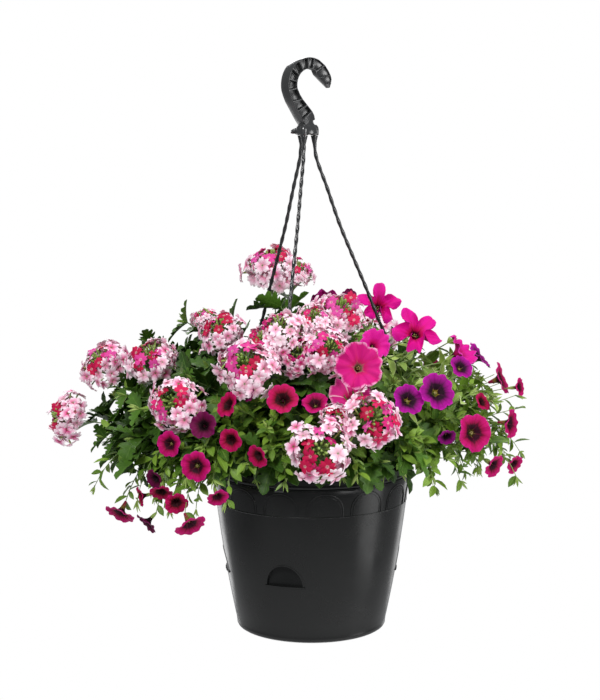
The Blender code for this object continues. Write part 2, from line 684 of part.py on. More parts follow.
def make_hook(parts, cutters):
    """The channel, its rib cells and the collar under it, as one moulding."""
    bm = bmesh.new()
    pairs = [[bm.verts.new((u, CHANNEL_DEPTH / 2, z)) for u, z in pair] for pair in hook_stations()]
    cells = [bm.faces.new((here[0], here[1], there[1], there[0])) for here, there in zip(pairs, pairs[1:])]
    open_face = bmesh.ops.extrude_face_region(bm, geom=cells)["geom"]
    moved = [v for v in open_face if isinstance(v, bmesh.types.BMVert)]
    bmesh.ops.translate(bm, vec=(0, -CHANNEL_DEPTH, 0), verts=moved)
    front = [face for face in open_face if isinstance(face, bmesh.types.BMFace)]
    for cell in front[1:-1]:
        bmesh.ops.inset_individual(bm, faces=[cell], thickness=CHANNEL_WALL * 0.6)
        bmesh.ops.translate(bm, vec=(0, CHANNEL_DEPTH - CHANNEL_WALL, 0), verts=cell.verts)
    bmesh.ops.rotate(bm, cent=(0, 0, 0), matrix=Matrix.Rotation(math.radians(HOOK_YAW), 3, 'Z'), verts=bm.verts)
    bmesh.ops.translate(bm, vec=(HOOK_X, 0, 0), verts=bm.verts)
    hook = new_object("hook", mesh_from(bm, "hook"), parts, "hook_plastic")
    joined = new_collection("hook_joined")
    rod("collar", COLLAR_RADIUS, COLLAR_BOTTOM_Z + COLLAR_RECESS, COLLAR_TOP_Z, 16, (HOOK_X, 0), joined)
    for angle in STRAND_ANGLES.values():
        place = round_pot(LOBE_RING, angle, 0) + Vector((HOOK_X, 0, 0))
        rod("lobe", LOBE_RADIUS, COLLAR_BOTTOM_Z, LOBE_TOP_Z, 10, place, joined)
    union_of(joined, hook)
    for name, angle in STRAND_ANGLES.items():
        place = round_pot(LOBE_RING, angle, 0) + Vector((HOOK_X, 0, 0))
        socket = rod(f"socket_{name}", PLUG_RADIUS + SLOT_CLEARANCE, COLLAR_BOTTOM_Z - 0.002,
                     COLLAR_BOTTOM_Z + PLUG_LENGTH + GAP, 8, place, cutters)
        hide_cutter(socket)
        boolean(hook, socket, 'DIFFERENCE')
    apply_all(hook)
    return hook


def strand_route(angle):
    """The strand's route from its bulb to its clip."""
    start = round_pot(LOBE_RING, angle, 0) + Vector((HOOK_X, 0, COLLAR_BOTTOM_Z - GAP - 0.002))
    end = round_pot(RIM_RADIUS + GAP + CLIP_THICKNESS / 2, angle, CLIP_TOP_Z - 0.003)
    points = []
    for down, out in STRAND_ROUTE:
        level = start.z + (end.z - start.z) * down
        points.append(Vector((start.x + (end.x - start.x) * out, start.y + (end.y - start.y) * out, level)))
    return points


def make_strand(name, angle, parts):
    """One strand with the plug and bulb at its head and the clip at its foot."""
    joined = new_collection(f"strand_{name}_joined")
    points = smooth_route(strand_route(angle), STRAND_POINTS)
    mesh = tube(f"strand_{name}", points, [STRAND_RADIUS] * len(points), 6, parts)
    strand = new_object(f"strand_{name}", mesh, parts, "strand_plastic")
    top = COLLAR_BOTTOM_Z - GAP
    head = round_pot(LOBE_RING, angle, 0) + Vector((HOOK_X, 0, 0))
    rod("bulb", STRAND_RADIUS, top - BULB_LENGTH, top, 8, head, joined, BULB_RADIUS)
    rod("plug", PLUG_RADIUS, top - 0.002, COLLAR_BOTTOM_Z + PLUG_LENGTH, 8, head, joined)
    turn = Matrix.Rotation(math.radians(angle), 4, 'Z')
    out = RIM_RADIUS + GAP + CLIP_THICKNESS / 2
    box("clip", (CLIP_THICKNESS, CLIP_WIDTH, CLIP_HEIGHT), (out, 0, CLIP_TOP_Z - CLIP_HEIGHT / 2), joined, turn)
    tongue_place = (out - TONGUE_DEPTH / 2, 0, TONGUE_Z)
    box("tongue", (TONGUE_DEPTH, TONGUE_WIDTH, TONGUE_HEIGHT), tongue_place, joined, turn)
    union_of(joined, strand)
    return strand


def verbena_head(name, centre, azimuth, elevation, radius, florets, parts, seed):
    """A cluster of flat five-petalled florets standing out of a small core, one closed body.

    The core is an icosahedron. Each floret is a star round its own axis, bridged to the face it grows from,
    and its petals stop where the space of the next floret begins.
    """
    rng = random.Random(seed)
    bm = bmesh.new()
    bmesh.ops.create_icosphere(bm, subdivisions=1, radius=radius * HEAD_CORE)
    seats = sorted(bm.faces, key=lambda face: -face.calc_center_median().z)
    axes = [face.calc_center_median().normalized() for face in seats]
    base = min(bm.verts, key=lambda vertex: vertex.co.z)
    base.co.z = -radius * HEAD_BASE
    for number in range(florets):
        seat, axis = seats[number], axes[number]
        seat_edges = seat.edges[:]
        bmesh.ops.delete(bm, geom=[seat], context='FACES_ONLY')
        spin = Matrix.Rotation(rng.uniform(0, 2 * math.pi), 4, 'Z')
        star = bmesh.ops.create_circle(bm, segments=FLORET_POINTS, radius=1, cap_ends=True, cap_tris=True,
                                       matrix=facing((0, 0, 0), axis) @ spin)["verts"]
        rim = [vertex for vertex in star if vertex.co.length > 0.5]
        eye = [vertex for vertex in star if vertex.co.length <= 0.5][0]
        lift = radius * HEAD_LIFT * (1 + rng.uniform(-0.03, 0.03))
        for index, vertex in enumerate(rim):
            across = vertex.co.normalized()
            notch = FLORET_NOTCH if index % 2 else 1.0
            room = [lift * (1 - axis.dot(other)) / across.dot(other)
                    for other in axes if other is not axis and across.dot(other) > 1e-6]
            reach = min(radius * FLORET_RADIUS * notch, 0.95 * min(room) * math.sqrt(notch))
            vertex.co = axis * lift + across * reach
        eye.co = axis * (lift - radius * 0.07)
        rim_edges = [edge for edge in bm.edges if edge.is_boundary and all(end in rim for end in edge.verts)]
        bmesh.ops.bridge_loops(bm, edges=seat_edges + rim_edges)
    bmesh.ops.transform(bm, matrix=facing(centre, direction(azimuth, elevation)), verts=bm.verts)
    return new_object(name, mesh_from(bm, name), parts, "verbena_petal")


def trumpet_flower(name, kind, centre, azimuth, elevation, radius, lobes, finish, parts, seed):
    """A funnel with a lobed face: a sphere's rings shaped to tube, rim and throat."""
    rng = random.Random(seed)
    count = TRUMPET_POINTS[kind]
    length = TRUMPET_LENGTH[kind]
    shape = LOBE_SHAPES[lobes]
    wave = rng.uniform(0, 2 * math.pi)
    tube_radius = radius * 0.12
    # For each ring from the back: its radius, and its height over the face's centre
    rings = {1: (tube_radius, -length * 0.45), 2: (radius, radius * 0.10), 3: (radius * 0.20, -radius * 0.02)}
    bm = bmesh.new()
    bmesh.ops.create_uvsphere(bm, u_segments=count, v_segments=4, radius=1.0)
    for vertex in bm.verts:
        level = round((math.acos(max(-1.0, min(1.0, -vertex.co.z)))) / (math.pi / 4))
        if level == 0:
            vertex.co = Vector((0, 0, -length))
            continue
        if level == 4:
            vertex.co = Vector((0, 0, -length * 0.30))
            continue
        turn = math.atan2(vertex.co.y, vertex.co.x)
        index = round(turn / (2 * math.pi) * count) % count
        out, height = rings[level]
        if level == 2:
            out *= shape[index % len(shape)]
            height += radius * 0.07 * math.sin(2 * turn + wave)
        vertex.co = Vector((out * math.cos(turn), out * math.sin(turn), height))
    bmesh.ops.transform(bm, matrix=facing(centre, direction(azimuth, elevation)), verts=bm.verts)
    return new_object(name, mesh_from(bm, name), parts, finish)


def leaf_mesh(kind, length, frame, grow=0.0):
    """A blade with its base at the frame's origin, pointing along X: an outline joined to two rib points."""
    full, width, rib, teeth, arch = LEAF_KINDS[kind]
    count = LEAF_SIDES[kind]
    half = width * length / full / 2
    bm = bmesh.new()
    bmesh.ops.create_uvsphere(bm, u_segments=count, v_segments=2, radius=1.0)
    for vertex in bm.verts:
        if abs(vertex.co.z) > 0.5:
            side = 1 if vertex.co.z > 0 else -1
            vertex.co = Vector((length * RIB_PLACE, 0, arch * length * 0.8 + side * (rib / 2 + grow)))
            continue
        turn = math.atan2(vertex.co.y, vertex.co.x)
        index = round(turn / (2 * math.pi) * count) % count
        along = 0.5 + 0.5 * math.cos(turn)
        across = math.sin(turn) * (1 - teeth * (index % 2))
        droop = arch * (1 - (2 * along - 1) ** 2) * 0.7
        spread = half * across
        if abs(across) > 1e-3:
            spread += math.copysign(grow, across)
        vertex.co = Vector((along * (length + grow), spread, length * droop))
    bmesh.ops.transform(bm, matrix=frame, verts=bm.verts)
    return mesh_from(bm, "leaf")


def tree_of(mesh):
    return BVHTree.FromPolygons([vertex.co.copy() for vertex in mesh.vertices],
                                [tuple(face.vertices) for face in mesh.polygons])


def tree_of_all(objects):
    """One search tree over several objects, which all sit at the origin."""
    points, faces = [], []
    for item in objects:
        shift = len(points)
        points += [vertex.co.copy() for vertex in item.data.vertices]
        faces += [tuple(shift + index for index in face.vertices) for face in item.data.polygons]
    return BVHTree.FromPolygons(points, faces)


def curve_points(start, lift, pull, end, count):
    """A cubic curve from start to end with its two handles."""
    made = []
    for step in range(count):
        t = step / (count - 1)
        made.append(start * (1 - t) ** 3 + lift * 3 * t * (1 - t) ** 2
                    + pull * 3 * t * t * (1 - t) + end * t ** 3)
    return made


def is_clear(points, radius, solids, stems):
    """Whether a stem along the points keeps off the solids and the other plants' stems."""
    for place in points:
        if solids.find_nearest(place, radius + STEM_CLEARANCE)[0] is not None:
            return False
        if stems and stems.find(place)[2] < 2 * radius + STEM_APART:
            return False
    return True


def route_stem(start, end, towards, radius, solids, stems, rng):
    """The first drawn route that runs clear, rising from the crown and coming up behind the flower."""
    outward = Vector((end.x - start.x, end.y - start.y, 0))
    span = (end - start).length
    for attempt in range(ROUTE_DRAWS):
        spread = 0.15 + 0.85 * attempt / ROUTE_DRAWS
        rise = LEAST_RISE + max(0.0, LOW_FLOWER_Z - end.z) / 2 + rng.uniform(0, MORE_RISE) * spread
        lift = start + outward * rng.uniform(0.05, 0.30) + Vector((0, 0, rise))
        pull = end - towards * rng.uniform(0.25, 0.50) * span
        if end.z < POT_HEIGHT + TRAIL_HEIGHT:
            pull = end - outward.normalized() * 0.02 + Vector((0, 0, rng.uniform(0.05, 0.10)))
        sway = Vector([rng.gauss(0, SWAY) * spread for _ in range(3)])
        points = curve_points(start, lift + sway, pull - sway * 0.6, end, 60)
        route = evenly(points, STEM_SEGMENTS + 1)
        free = [place for place in curve_samples(route)
                if (place - start).length > CROWN_RADIUS + 0.002 and (place - end).length > 0.0025]
        if is_clear(free, radius, solids, stems):
            return route
    return None


def route_all_stems(flowers, fixed):
    """Every plant's stems, each kept off the solids and the other plants' stems."""
    solids = tree_of_all([*fixed, *[flower["object"] for flower in flowers.values()]])
    routes = {}
    samples = []
    for name, plant in PLANTS.items():
        rng = random.Random(plant["seed"])
        radius = STEM_RADII[plant["kind"]]
        stems = KDTree(len(samples)) if samples else None
        for index, place in enumerate(samples):
            stems.insert(place, index)
        if stems:
            stems.balance()
        crown = Vector((*plant["crown"], STEM_START_Z))
        ends = [(flowers[flower]["seat"], flowers[flower]["towards"]) for flower in plant["flowers"]]
        ends += [(Vector(tip), (Vector(tip) - crown).normalized()) for tip in plant["shoots"]]
        routes[name] = []
        for end, towards in ends:
            outward = Vector((end.x - crown.x, end.y - crown.y, 0)).normalized()
            start = crown + outward * STEM_START_RING
            route = route_stem(start, end, towards, radius, solids, stems, rng)
            if route is None:
                raise RuntimeError(f"{name} has no clear way for its stem to {tuple(end)}")
            routes[name].append(route)
            samples += curve_samples(route)
    return routes


def curve_samples(route):
    """Points close together along a stem's segments."""
    made = []
    for here, there in zip(route, route[1:]):
        count = max(2, int((there - here).length / 0.002))
        made += [here.lerp(there, step / count) for step in range(count)]
    return made


def stem_mesh(name, route, radius, parts):
    """A stem, tapering to its tip."""
    radii = [radius * (1 - STEM_TAPER * index / (len(route) - 1)) for index in range(len(route))]
    return tube(name, route, radii, STEM_SIDES, parts)


def leaf_frame(route, share, side, rng):
    """A frame on the stem's axis whose X axis runs out along the leaf and whose Z axis is its upper side.

    A side of 0 gives the leaf at the stem's tip, which runs on along the stem.
    """
    step = share * (len(route) - 1)
    index = min(int(step), len(route) - 2)
    root = route[index].lerp(route[index + 1], step - index)
    along = (route[index + 1] - route[index]).normalized()
    outward = Vector((root.x, root.y, 0)).normalized()
    up = (Vector((0, 0, 1)) + outward * 0.6).normalized()
    if side:
        across = along.cross(up).normalized() * side
        reach = (across + along * rng.uniform(0.1, 0.8) + outward * rng.uniform(0.0, 0.5)
                 + Vector((0, 0, rng.uniform(-0.35, 0.45)))).normalized()
    else:
        reach = (along + Vector([rng.uniform(-0.2, 0.2) for _ in range(3)])).normalized()
    normal = (up - reach * up.dot(reach)).normalized()
    sideways = normal.cross(reach).normalized()
    frame = Matrix((reach, sideways, normal)).transposed().to_4x4()
    frame.translation = root - reach * (ROOT_DEPTH if side else TIP_ROOT_DEPTH)
    return frame


def grow_leaves(name, routes, stems, solids, placed):
    """The plant's leaves: drawn along its stems, and kept only where they are clear of all else."""
    plant = PLANTS[name]
    kind = plant["kind"]
    rng = random.Random(plant["seed"] + 100)
    others = [tree for other, tree in stems.items() if other != name]
    leaves = []
    shoots = routes[name][-len(plant["shoots"]):]
    for attempt in range(plant["leaves"] * 30):
        if len(leaves) == plant["leaves"]:
            break
        if attempt < 4 * len(shoots):
            route, share, side = shoots[attempt % len(shoots)], 1.0, 0
        else:
            route = routes[name][attempt % len(routes[name])]
            share, side = rng.uniform(*LEAFY_STRETCH), rng.choice((-1, 1))
        frame = leaf_frame(route, share, side, rng)
        length = LEAF_KINDS[kind][0] * rng.uniform(0.75, 1.15)
        trial = leaf_mesh(kind, length, frame, LEAF_MARGIN)
        tree = tree_of(trial)
        centre = frame @ Vector((length / 2, 0, 0))
        bpy.data.meshes.remove(trial)
        if tree.overlap(solids) or any(tree.overlap(other) for other in others):
            continue
        if any((centre - spot).length < (length + reach) * 0.7 and tree.overlap(other)
               for spot, reach, other in placed):
            continue
        placed.append((centre, length, tree))
        leaves.append((frame, length))
    return leaves


def make_plants(parts, flowers, fixed):
    """Each plant's crown, stems and leaves, kept clear of everything else and joined in one body."""
    routes = route_all_stems(flowers, fixed)
    solids = tree_of_all([*fixed, *[flower["object"] for flower in flowers.values()]])
    stem_meshes, stems = {}, {}
    for name, plant in PLANTS.items():
        radius = STEM_RADII[plant["kind"]]
        stem_meshes[name] = [stem_mesh("stem", route, radius, parts) for route in routes[name]]
        joined = [bpy.data.objects.new("stem", mesh) for mesh in stem_meshes[name]]
        stems[name] = tree_of_all(joined)
        remove(*joined)
    placed = []
    for name, plant in PLANTS.items():
        leaves = grow_leaves(name, routes, stems, solids, placed)
        joined = new_collection(f"{name}_joined")
        crown = rod(name, CROWN_RADIUS, CROWN_BOTTOM_Z, CROWN_TOP_Z, 8, plant["crown"], parts)
        crown.data.materials.append(material(f"{plant['kind']}_leaf"))
        for mesh in stem_meshes[name]:
            new_object("stem", mesh, joined)
        for frame, length in leaves:
            new_object("leaf", leaf_mesh(plant["kind"], length, frame), joined)
        union_of(joined, crown)


def make_flowers(parts):
    """Every flower, and where its stem meets it."""
    made = {}
    for number, (name, centre, azimuth, elevation, radius, florets) in enumerate(VERBENA_HEADS):
        item = verbena_head(name, centre, azimuth, elevation, radius, florets, parts, FIRST_HEAD_SEED + number)
        towards = direction(azimuth, elevation)
        seat = Vector(centre) - towards * (radius * HEAD_BASE + GAP)
        made[name] = {"object": item, "towards": towards, "seat": seat}
    trumpets = [("calibrachoa", row, row[5]) for row in CALIBRACHOAS]
    trumpets += [("petunia", row, "petunia_petal") for row in PETUNIAS]
    for number, (kind, row, finish) in enumerate(trumpets):
        name, centre, azimuth, elevation, radius = row[:5]
        lobes = "round" if kind == "calibrachoa" else row[5]
        item = trumpet_flower(name, kind, centre, azimuth, elevation, radius, lobes, finish, parts,
                              FIRST_TRUMPET_SEED + number)
        towards = direction(azimuth, elevation)
        seat = Vector(centre) - towards * (TRUMPET_LENGTH[kind] + GAP)
        made[name] = {"object": item, "towards": towards, "seat": seat}
    return made


def hang(parts):
    """Hang every piece from an empty, so that the hook's bearing point is the world's origin."""
    frame = bpy.data.objects.new("basket_frame", None)
    parts.objects.link(frame)
    frame.location = (-HOOK_X, 0, -HANG_Z)
    for item in list(parts.objects):
        if item is not frame:
            item.parent = frame


def main():
    for item in list(bpy.data.objects):
        bpy.data.objects.remove(item)
    parts = new_collection("flowering_hanging_basket")
    cutters = new_collection("cutters")
    fixed = [make_pot(parts, cutters), make_plate(parts, cutters), make_soil(parts, cutters),
             make_hook(parts, cutters)]
    fixed += [make_strand(name, angle, parts) for name, angle in STRAND_ANGLES.items()]
    make_plants(parts, make_flowers(parts), fixed)
    hang(parts)


main()
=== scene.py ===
"""Dresses the flowering hanging basket: the fine pot, hook and strands, the blooms and the foliage.

Metres, +Z up. Pieces are modelled with the pot standing on z = 0 round the Z axis, front towards -Y, and then
moved by HANG, because the frame's origin is the point where the hook bears on its support.
A flower's azimuth runs from the front, positive to the right. Angles round the pot run anticlockwise from +X.
"""
import math
import random

import bpy
from mathutils import Matrix, Quaternion, Vector, noise


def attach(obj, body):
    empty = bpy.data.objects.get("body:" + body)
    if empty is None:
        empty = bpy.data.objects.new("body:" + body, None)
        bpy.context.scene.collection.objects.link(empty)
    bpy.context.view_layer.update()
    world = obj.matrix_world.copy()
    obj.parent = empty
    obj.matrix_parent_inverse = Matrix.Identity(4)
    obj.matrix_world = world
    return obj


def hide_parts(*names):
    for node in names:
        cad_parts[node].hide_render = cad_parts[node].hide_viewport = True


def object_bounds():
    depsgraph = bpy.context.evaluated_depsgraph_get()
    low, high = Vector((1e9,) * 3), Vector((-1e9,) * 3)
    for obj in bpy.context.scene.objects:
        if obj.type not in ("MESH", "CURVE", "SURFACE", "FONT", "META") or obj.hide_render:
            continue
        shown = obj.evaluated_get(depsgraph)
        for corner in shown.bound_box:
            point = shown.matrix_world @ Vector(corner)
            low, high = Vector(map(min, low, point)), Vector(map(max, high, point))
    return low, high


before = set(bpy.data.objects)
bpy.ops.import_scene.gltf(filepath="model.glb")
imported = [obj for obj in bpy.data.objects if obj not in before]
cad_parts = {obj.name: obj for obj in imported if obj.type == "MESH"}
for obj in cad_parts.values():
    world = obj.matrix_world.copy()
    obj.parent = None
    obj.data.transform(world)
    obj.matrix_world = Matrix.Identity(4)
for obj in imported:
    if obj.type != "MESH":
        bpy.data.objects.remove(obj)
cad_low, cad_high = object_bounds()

bpy.ops.object.select_all(action='DESELECT')

# From pot coordinates to the frame's
HANG = Vector((0.006, 0.0, -0.672))
# How far past the frame's box a leaf may reach
BOX_MARGIN = 0.006

# Camera: the photograph's viewpoint, in pot coordinates, how far it looks down, and its lens
CAMERA_PLACE = Vector((-0.0137, -2.0, 0.599))
CAMERA_DOWN = math.radians(7.45)
CAMERA_LENS = 86.1

# The floor, the room's own light, and the lamps, which look at the planting: name, place, size and power
FLOOR_Z = -1.1
FLOOR_SIZE = 5.0
ROOM_LIGHT = 0.27
LAMP_TARGET = Vector((0.0, 0.0, 0.25))
STUDIO_LIGHTS = (
    ("key", (-0.7, -1.6, 1.5), (0.5, 0.5), 27.0),
    ("top", (0.2, 0.1, 2.4), (1.0, 1.0), 20.0),
    ("fill", (1.2, -1.4, 0.6), (0.6, 1.0), 5.0),
    ("right_side", (1.9, -0.5, -0.25), (0.9, 1.2), 7.0),
    ("hook_glint", (1.7, -1.1, 0.90), (0.8, 0.8), 14.0),
    ("left_edge", (-0.9, 1.5, 0.2), (0.6, 1.6), 5.0),
    ("right_edge", (0.9, 1.5, 0.2), (0.6, 1.6), 3.0),
    ("back_fill", (-0.4, 1.9, 1.4), (0.8, 0.8), 12.0),
)

# Pot
POT_HEIGHT = 0.202
POT_WALL = 0.0022
POT_STEPS = 160
FOOT_RADIUS = 0.0895
RIM_RADIUS = 0.120
LIP_RADIUS = RIM_RADIUS - 0.0012
BODY_INSET = 0.0004
POT_FLOOR = 0.0025
BEAD_RADII = ((0.1900, 0.1197), (0.1940, 0.1200))
ARCH_BAND_TOP_Z = 0.1880
ARCH_BAND_BOTTOM_Z = 0.1575
WALL_BULGE = 0.0116
ARCHES = 14
ARCH_FIRST_ANGLE = -82.5
ARCH_HALF_ANGLE = 10.4
ARCH_RELIEF = (0.00050, 0.00022)
ARCH_TOP_Z = 0.1855
WINDOW_ANGLES = (-108.0, 3.0, 72.0, -177.0)
WINDOW_WIDTH = 0.044
WINDOW_HEIGHT = 0.025
WINDOW_SILL_Z = 0.0720
WINDOW_RIM = 0.0050
LEDGE_DEPTH = 0.0092
SOIL_EDGE_Z = 0.1830
SOIL_DOME = 0.0040
SOIL_BOTTOM_Z = 0.140
SOIL_GRID = 90
CRUMBS = 160

# Hook. Its cells lie between stations of its outline, and the channel is full deep from one of them on
HOOK_X = -0.0060
HOOK_YAW = math.radians(38.0)
CHANNEL_DEPTH = 0.0153
CELL_DEPTH = 0.0068
HOOK_CENTRE_Z = 0.6526
HOOK_OUTER_RADIUS = 0.0324
HOOK_INNER_RADIUS = 0.0194
TIP_DEPTH = 0.30
COLLAR_BOTTOM_Z = 0.5940
CELL_STATIONS = (1, 3, 5, 8, 11, 15, 19, 23, 27, 29, 31, 33)
CELL_RIM = 0.00075
FULL_DEPTH_STATION = 14
EDGE_ROUND = 0.00035

# Strands
STRAND_ANGLES = {"right": 12.0, "back": 132.0, "front": -108.0}
STRAND_RADII = (0.0024, 0.0018)
STRAND_PITCH = 0.028
LOBE_RING = 0.0095
CLIP_TOP_Z = 0.2010
CLIP_SIZE = (0.0032, 0.0110, 0.0130)
CLIP_RADIUS = RIM_RADIUS + 0.0003 + CLIP_SIZE[0] / 2
CLIP_RIBS = 3
STRAND_POINTS = 170
STRAND_ROUTE = (
    (0.00, 0.00), (0.06, 0.02), (0.15, 0.13), (0.26, 0.26), (0.36, 0.40), (0.45, 0.53), (0.56, 0.68),
    (0.66, 0.82), (0.74, 0.895), (0.82, 0.945), (0.91, 0.98), (1.00, 1.00),
)

# Turned parts, as radius and height: the hook's collar and its lobes, a strand's plug and the clip's shoulder
COLLAR_PROFILE = ((0.0, 0.0008), (0.0124, 0.0008), (0.0136, 0.0020), (0.0136, 0.0042), (0.0128, 0.0078),
                  (0.0108, 0.0112), (0.0084, 0.0145), (0.0076, 0.0190), (0.0060, 0.0222), (0.0, 0.0230))
LOBE_PROFILE = ((0.0023, 0.0006), (0.0028, 0.0), (0.0046, 0.0), (0.0052, 0.0008), (0.0053, 0.0070),
                (0.0046, 0.0100), (0.0028, 0.0122), (0.0, 0.0128))
PLUG_PROFILE = ((0.0, 0.0060), (0.0017, 0.0060), (0.0018, 0.0), (0.0040, 0.0), (0.0043, -0.0012),
                (0.0036, -0.0030), (0.0037, -0.0036), (0.0029, -0.0060), (0.0030, -0.0066), (0.0020, -0.0100),
                (0.0, -0.0110))
SHOULDER_PROFILE = ((0.0, 0.0), (0.0026, 0.0), (0.0030, -0.0030), (0.0022, -0.0062), (0.0, -0.0066))

# Flowers of each kind, numbered from 1: centre, azimuth, elevation, radius, and how pale a verbena head is or
# a trumpet's colour. The plants carry small blooms and young heads that the frame has no nodes for.
FLOWERS = {
    "verbena_head": (
        ((-0.290, -0.012, 0.256), -65, 15, 0.0285, 0.5),
        ((-0.248, 0.000, 0.318), -45, 40, 0.0275, 0.4),
        ((-0.188, -0.040, 0.328), -25, 50, 0.0290, 0.5),
        ((-0.152, -0.135, 0.293), -20, 15, 0.0290, 0.3),
        ((-0.049, 0.098, 0.425), -10, 70, 0.0340, 0.5),
        ((-0.104, -0.060, 0.364), -30, 50, 0.0250, 0.3),
        ((-0.072, -0.139, 0.334), -20, 30, 0.0330, 0.5),
        ((-0.034, -0.118, 0.372), -20, 50, 0.0260, 0.9),
        ((0.031, -0.066, 0.386), 20, 50, 0.0280, 0.4),
        ((0.016, -0.130, 0.352), 10, 35, 0.0260, 0.4),
        ((0.008, -0.197, 0.253), 0, 12, 0.0330, 0.7),
        ((0.065, -0.180, 0.282), 15, 22, 0.0310, 0.5),
        ((0.085, 0.150, 0.335), 150, 40, 0.0290, 0.5),
        ((-0.120, 0.155, 0.300), -145, 30, 0.0310, 0.6),
        ((0.005, 0.205, 0.262), 178, 15, 0.0320, 0.4),
    ),
    "calibrachoa": (
        ((-0.033, -0.175, 0.306), -5, 35, 0.0185, "crimson"),
        ((0.003, -0.161, 0.299), -5, 50, 0.0155, "magenta"),
        ((-0.094, -0.170, 0.299), -50, 25, 0.0155, "crimson"),
        ((-0.121, -0.172, 0.276), -15, 20, 0.0160, "wine"),
        ((-0.160, -0.157, 0.252), -25, 5, 0.0155, "magenta"),
        ((-0.129, -0.180, 0.231), -15, 0, 0.0180, "magenta"),
        ((0.108, -0.148, 0.301), 20, 30, 0.0190, "purple"),
        ((0.141, -0.136, 0.308), 25, 25, 0.0225, "purple"),
        ((0.183, -0.137, 0.261), 30, 10, 0.0230, "magenta"),
        ((0.228, -0.014, 0.305), 75, 20, 0.0210, "magenta"),
        ((0.204, 0.010, 0.329), 80, 40, 0.0200, "purple"),
        ((0.232, -0.080, 0.262), 60, 0, 0.0180, "magenta"),
        ((-0.090, -0.186, 0.262), -20, -5, 0.0140, "crimson"),
        ((-0.060, -0.198, 0.246), -40, -15, 0.0140, "crimson"),
        ((-0.222, -0.105, 0.160), -35, -50, 0.0190, "magenta"),
        ((-0.188, -0.142, 0.158), -60, -40, 0.0150, "wine"),
        ((-0.170, -0.155, 0.196), -5, -45, 0.0140, "crimson"),
        ((-0.136, -0.176, 0.163), 35, -45, 0.0190, "magenta"),
        ((0.172, -0.092, 0.330), 30, 35, 0.0150, "purple"),
        ((0.208, -0.122, 0.220), 45, -20, 0.0150, "magenta"),
        ((0.155, 0.120, 0.300), 130, 30, 0.0190, "magenta"),
        ((0.205, 0.085, 0.225), 110, 0, 0.0180, "purple"),
        ((-0.205, 0.100, 0.225), -120, 5, 0.0190, "crimson"),
        ((-0.080, 0.195, 0.195), -160, -10, 0.0180, "magenta"),
    ),
    "petunia": (
        ((0.126, -0.012, 0.362), 15, 40, 0.0340, "star"),
        ((0.180, -0.020, 0.341), 70, 40, 0.0225, "broad"),
        ((0.083, 0.048, 0.388), 10, 35, 0.0300, "star"),
        ((0.052, -0.165, 0.341), 5, 20, 0.0280, "pale_eyed"),
        ((0.044, -0.130, 0.304), 0, 50, 0.0260, "striped"),
        ((0.073, -0.100, 0.358), 25, 30, 0.0190, "broad"),
        ((0.030, 0.150, 0.375), 175, 45, 0.0320, "broad"),
    ),
    "small_bloom": (
        ((0.248, -0.030, 0.297), 60, 10, 0.0115, "magenta"),
        ((0.238, -0.070, 0.211), 40, -20, 0.0125, "magenta"),
        ((0.153, -0.130, 0.255), 10, -30, 0.0110, "purple"),
        ((0.044, 0.000, 0.401), -150, 20, 0.0120, "wine"),
        ((-0.070, -0.160, 0.310), -60, 20, 0.0105, "wine"),
        ((0.200, -0.065, 0.285), 50, 30, 0.0120, "crimson"),
        ((-0.196, -0.125, 0.185), -70, -10, 0.0120, "crimson"),
        ((-0.178, -0.140, 0.208), -40, -20, 0.0130, "wine"),
        ((-0.152, -0.165, 0.186), 10, -20, 0.0140, "crimson"),
        ((-0.105, -0.180, 0.196), 20, -35, 0.0130, "magenta"),
    ),
    "young_head": (
        ((-0.014, -0.122, 0.347), -10, 35, 0.0235, 0.1),
        ((0.026, -0.172, 0.283), 10, 30, 0.0160, 1.0),
        ((-0.130, 0.020, 0.372), -40, 60, 0.0150, 0.6),
        ((-0.052, -0.120, 0.360), -30, 45, 0.0200, 0.4),
        ((-0.018, 0.096, 0.421), 20, 60, 0.0210, 0.8),
        ((0.002, -0.095, 0.384), 5, 45, 0.0190, 0.6),
    ),
}
# For each kind of flower: its first one's seed, the plant it grows on, and whether the frame has its nodes
FLOWER_KINDS = {
    "verbena_head": (100, "verbena", True),
    "calibrachoa": (200, "calibrachoa", True),
    "petunia": (300, "petunia", True),
    "small_bloom": (400, "calibrachoa", False),
    "young_head": (500, "verbena", False),
}
TRUMPET_LENGTH = {"calibrachoa": 0.017, "petunia": 0.032}

# A head's rings from its middle out: the angle from its axis in degrees, how many, and of what
HEAD_RINGS = (
    (0.0, 1, "spoke"), (10.0, 4, "spoke"), (20.0, 8, "spoke"), (31.0, 6, "floret"), (50.0, 9, "floret"),
    (71.0, 11, "floret"), (94.0, 11, "floret"),
)
# Florets up to this angle from a head's axis are young, and crimson
YOUNG_ANGLE = 41
FLORET_FORMS = 3
PETALS = 5
HEAD_SPREAD = Vector((1.10, 1.10, 0.84))

# How deep the notches between a flower's lobes are, and how sharply they start
LOBES = {"round": (0.17, 0.7), "broad": (0.17, 0.7), "star": (0.70, 1.00)}
# A trumpet from its foot to its edge: how far along it, its radius, and its depth, which is a share of its
# length behind the face and of its radius in front of it
TRUMPET_PROFILE = (
    (0.0, 0.0, -1.0), (0.10, 0.06, -0.97), (0.24, 0.09, -0.76), (0.36, 0.13, -0.52), (0.43, 0.17, -0.36),
    (0.49, 0.24, -0.24), (0.56, 0.35, -0.15), (0.65, 0.50, -0.08), (0.75, 0.67, -0.03), (0.88, 0.85, 0.01),
    (1.0, 1.0, -0.03),
)

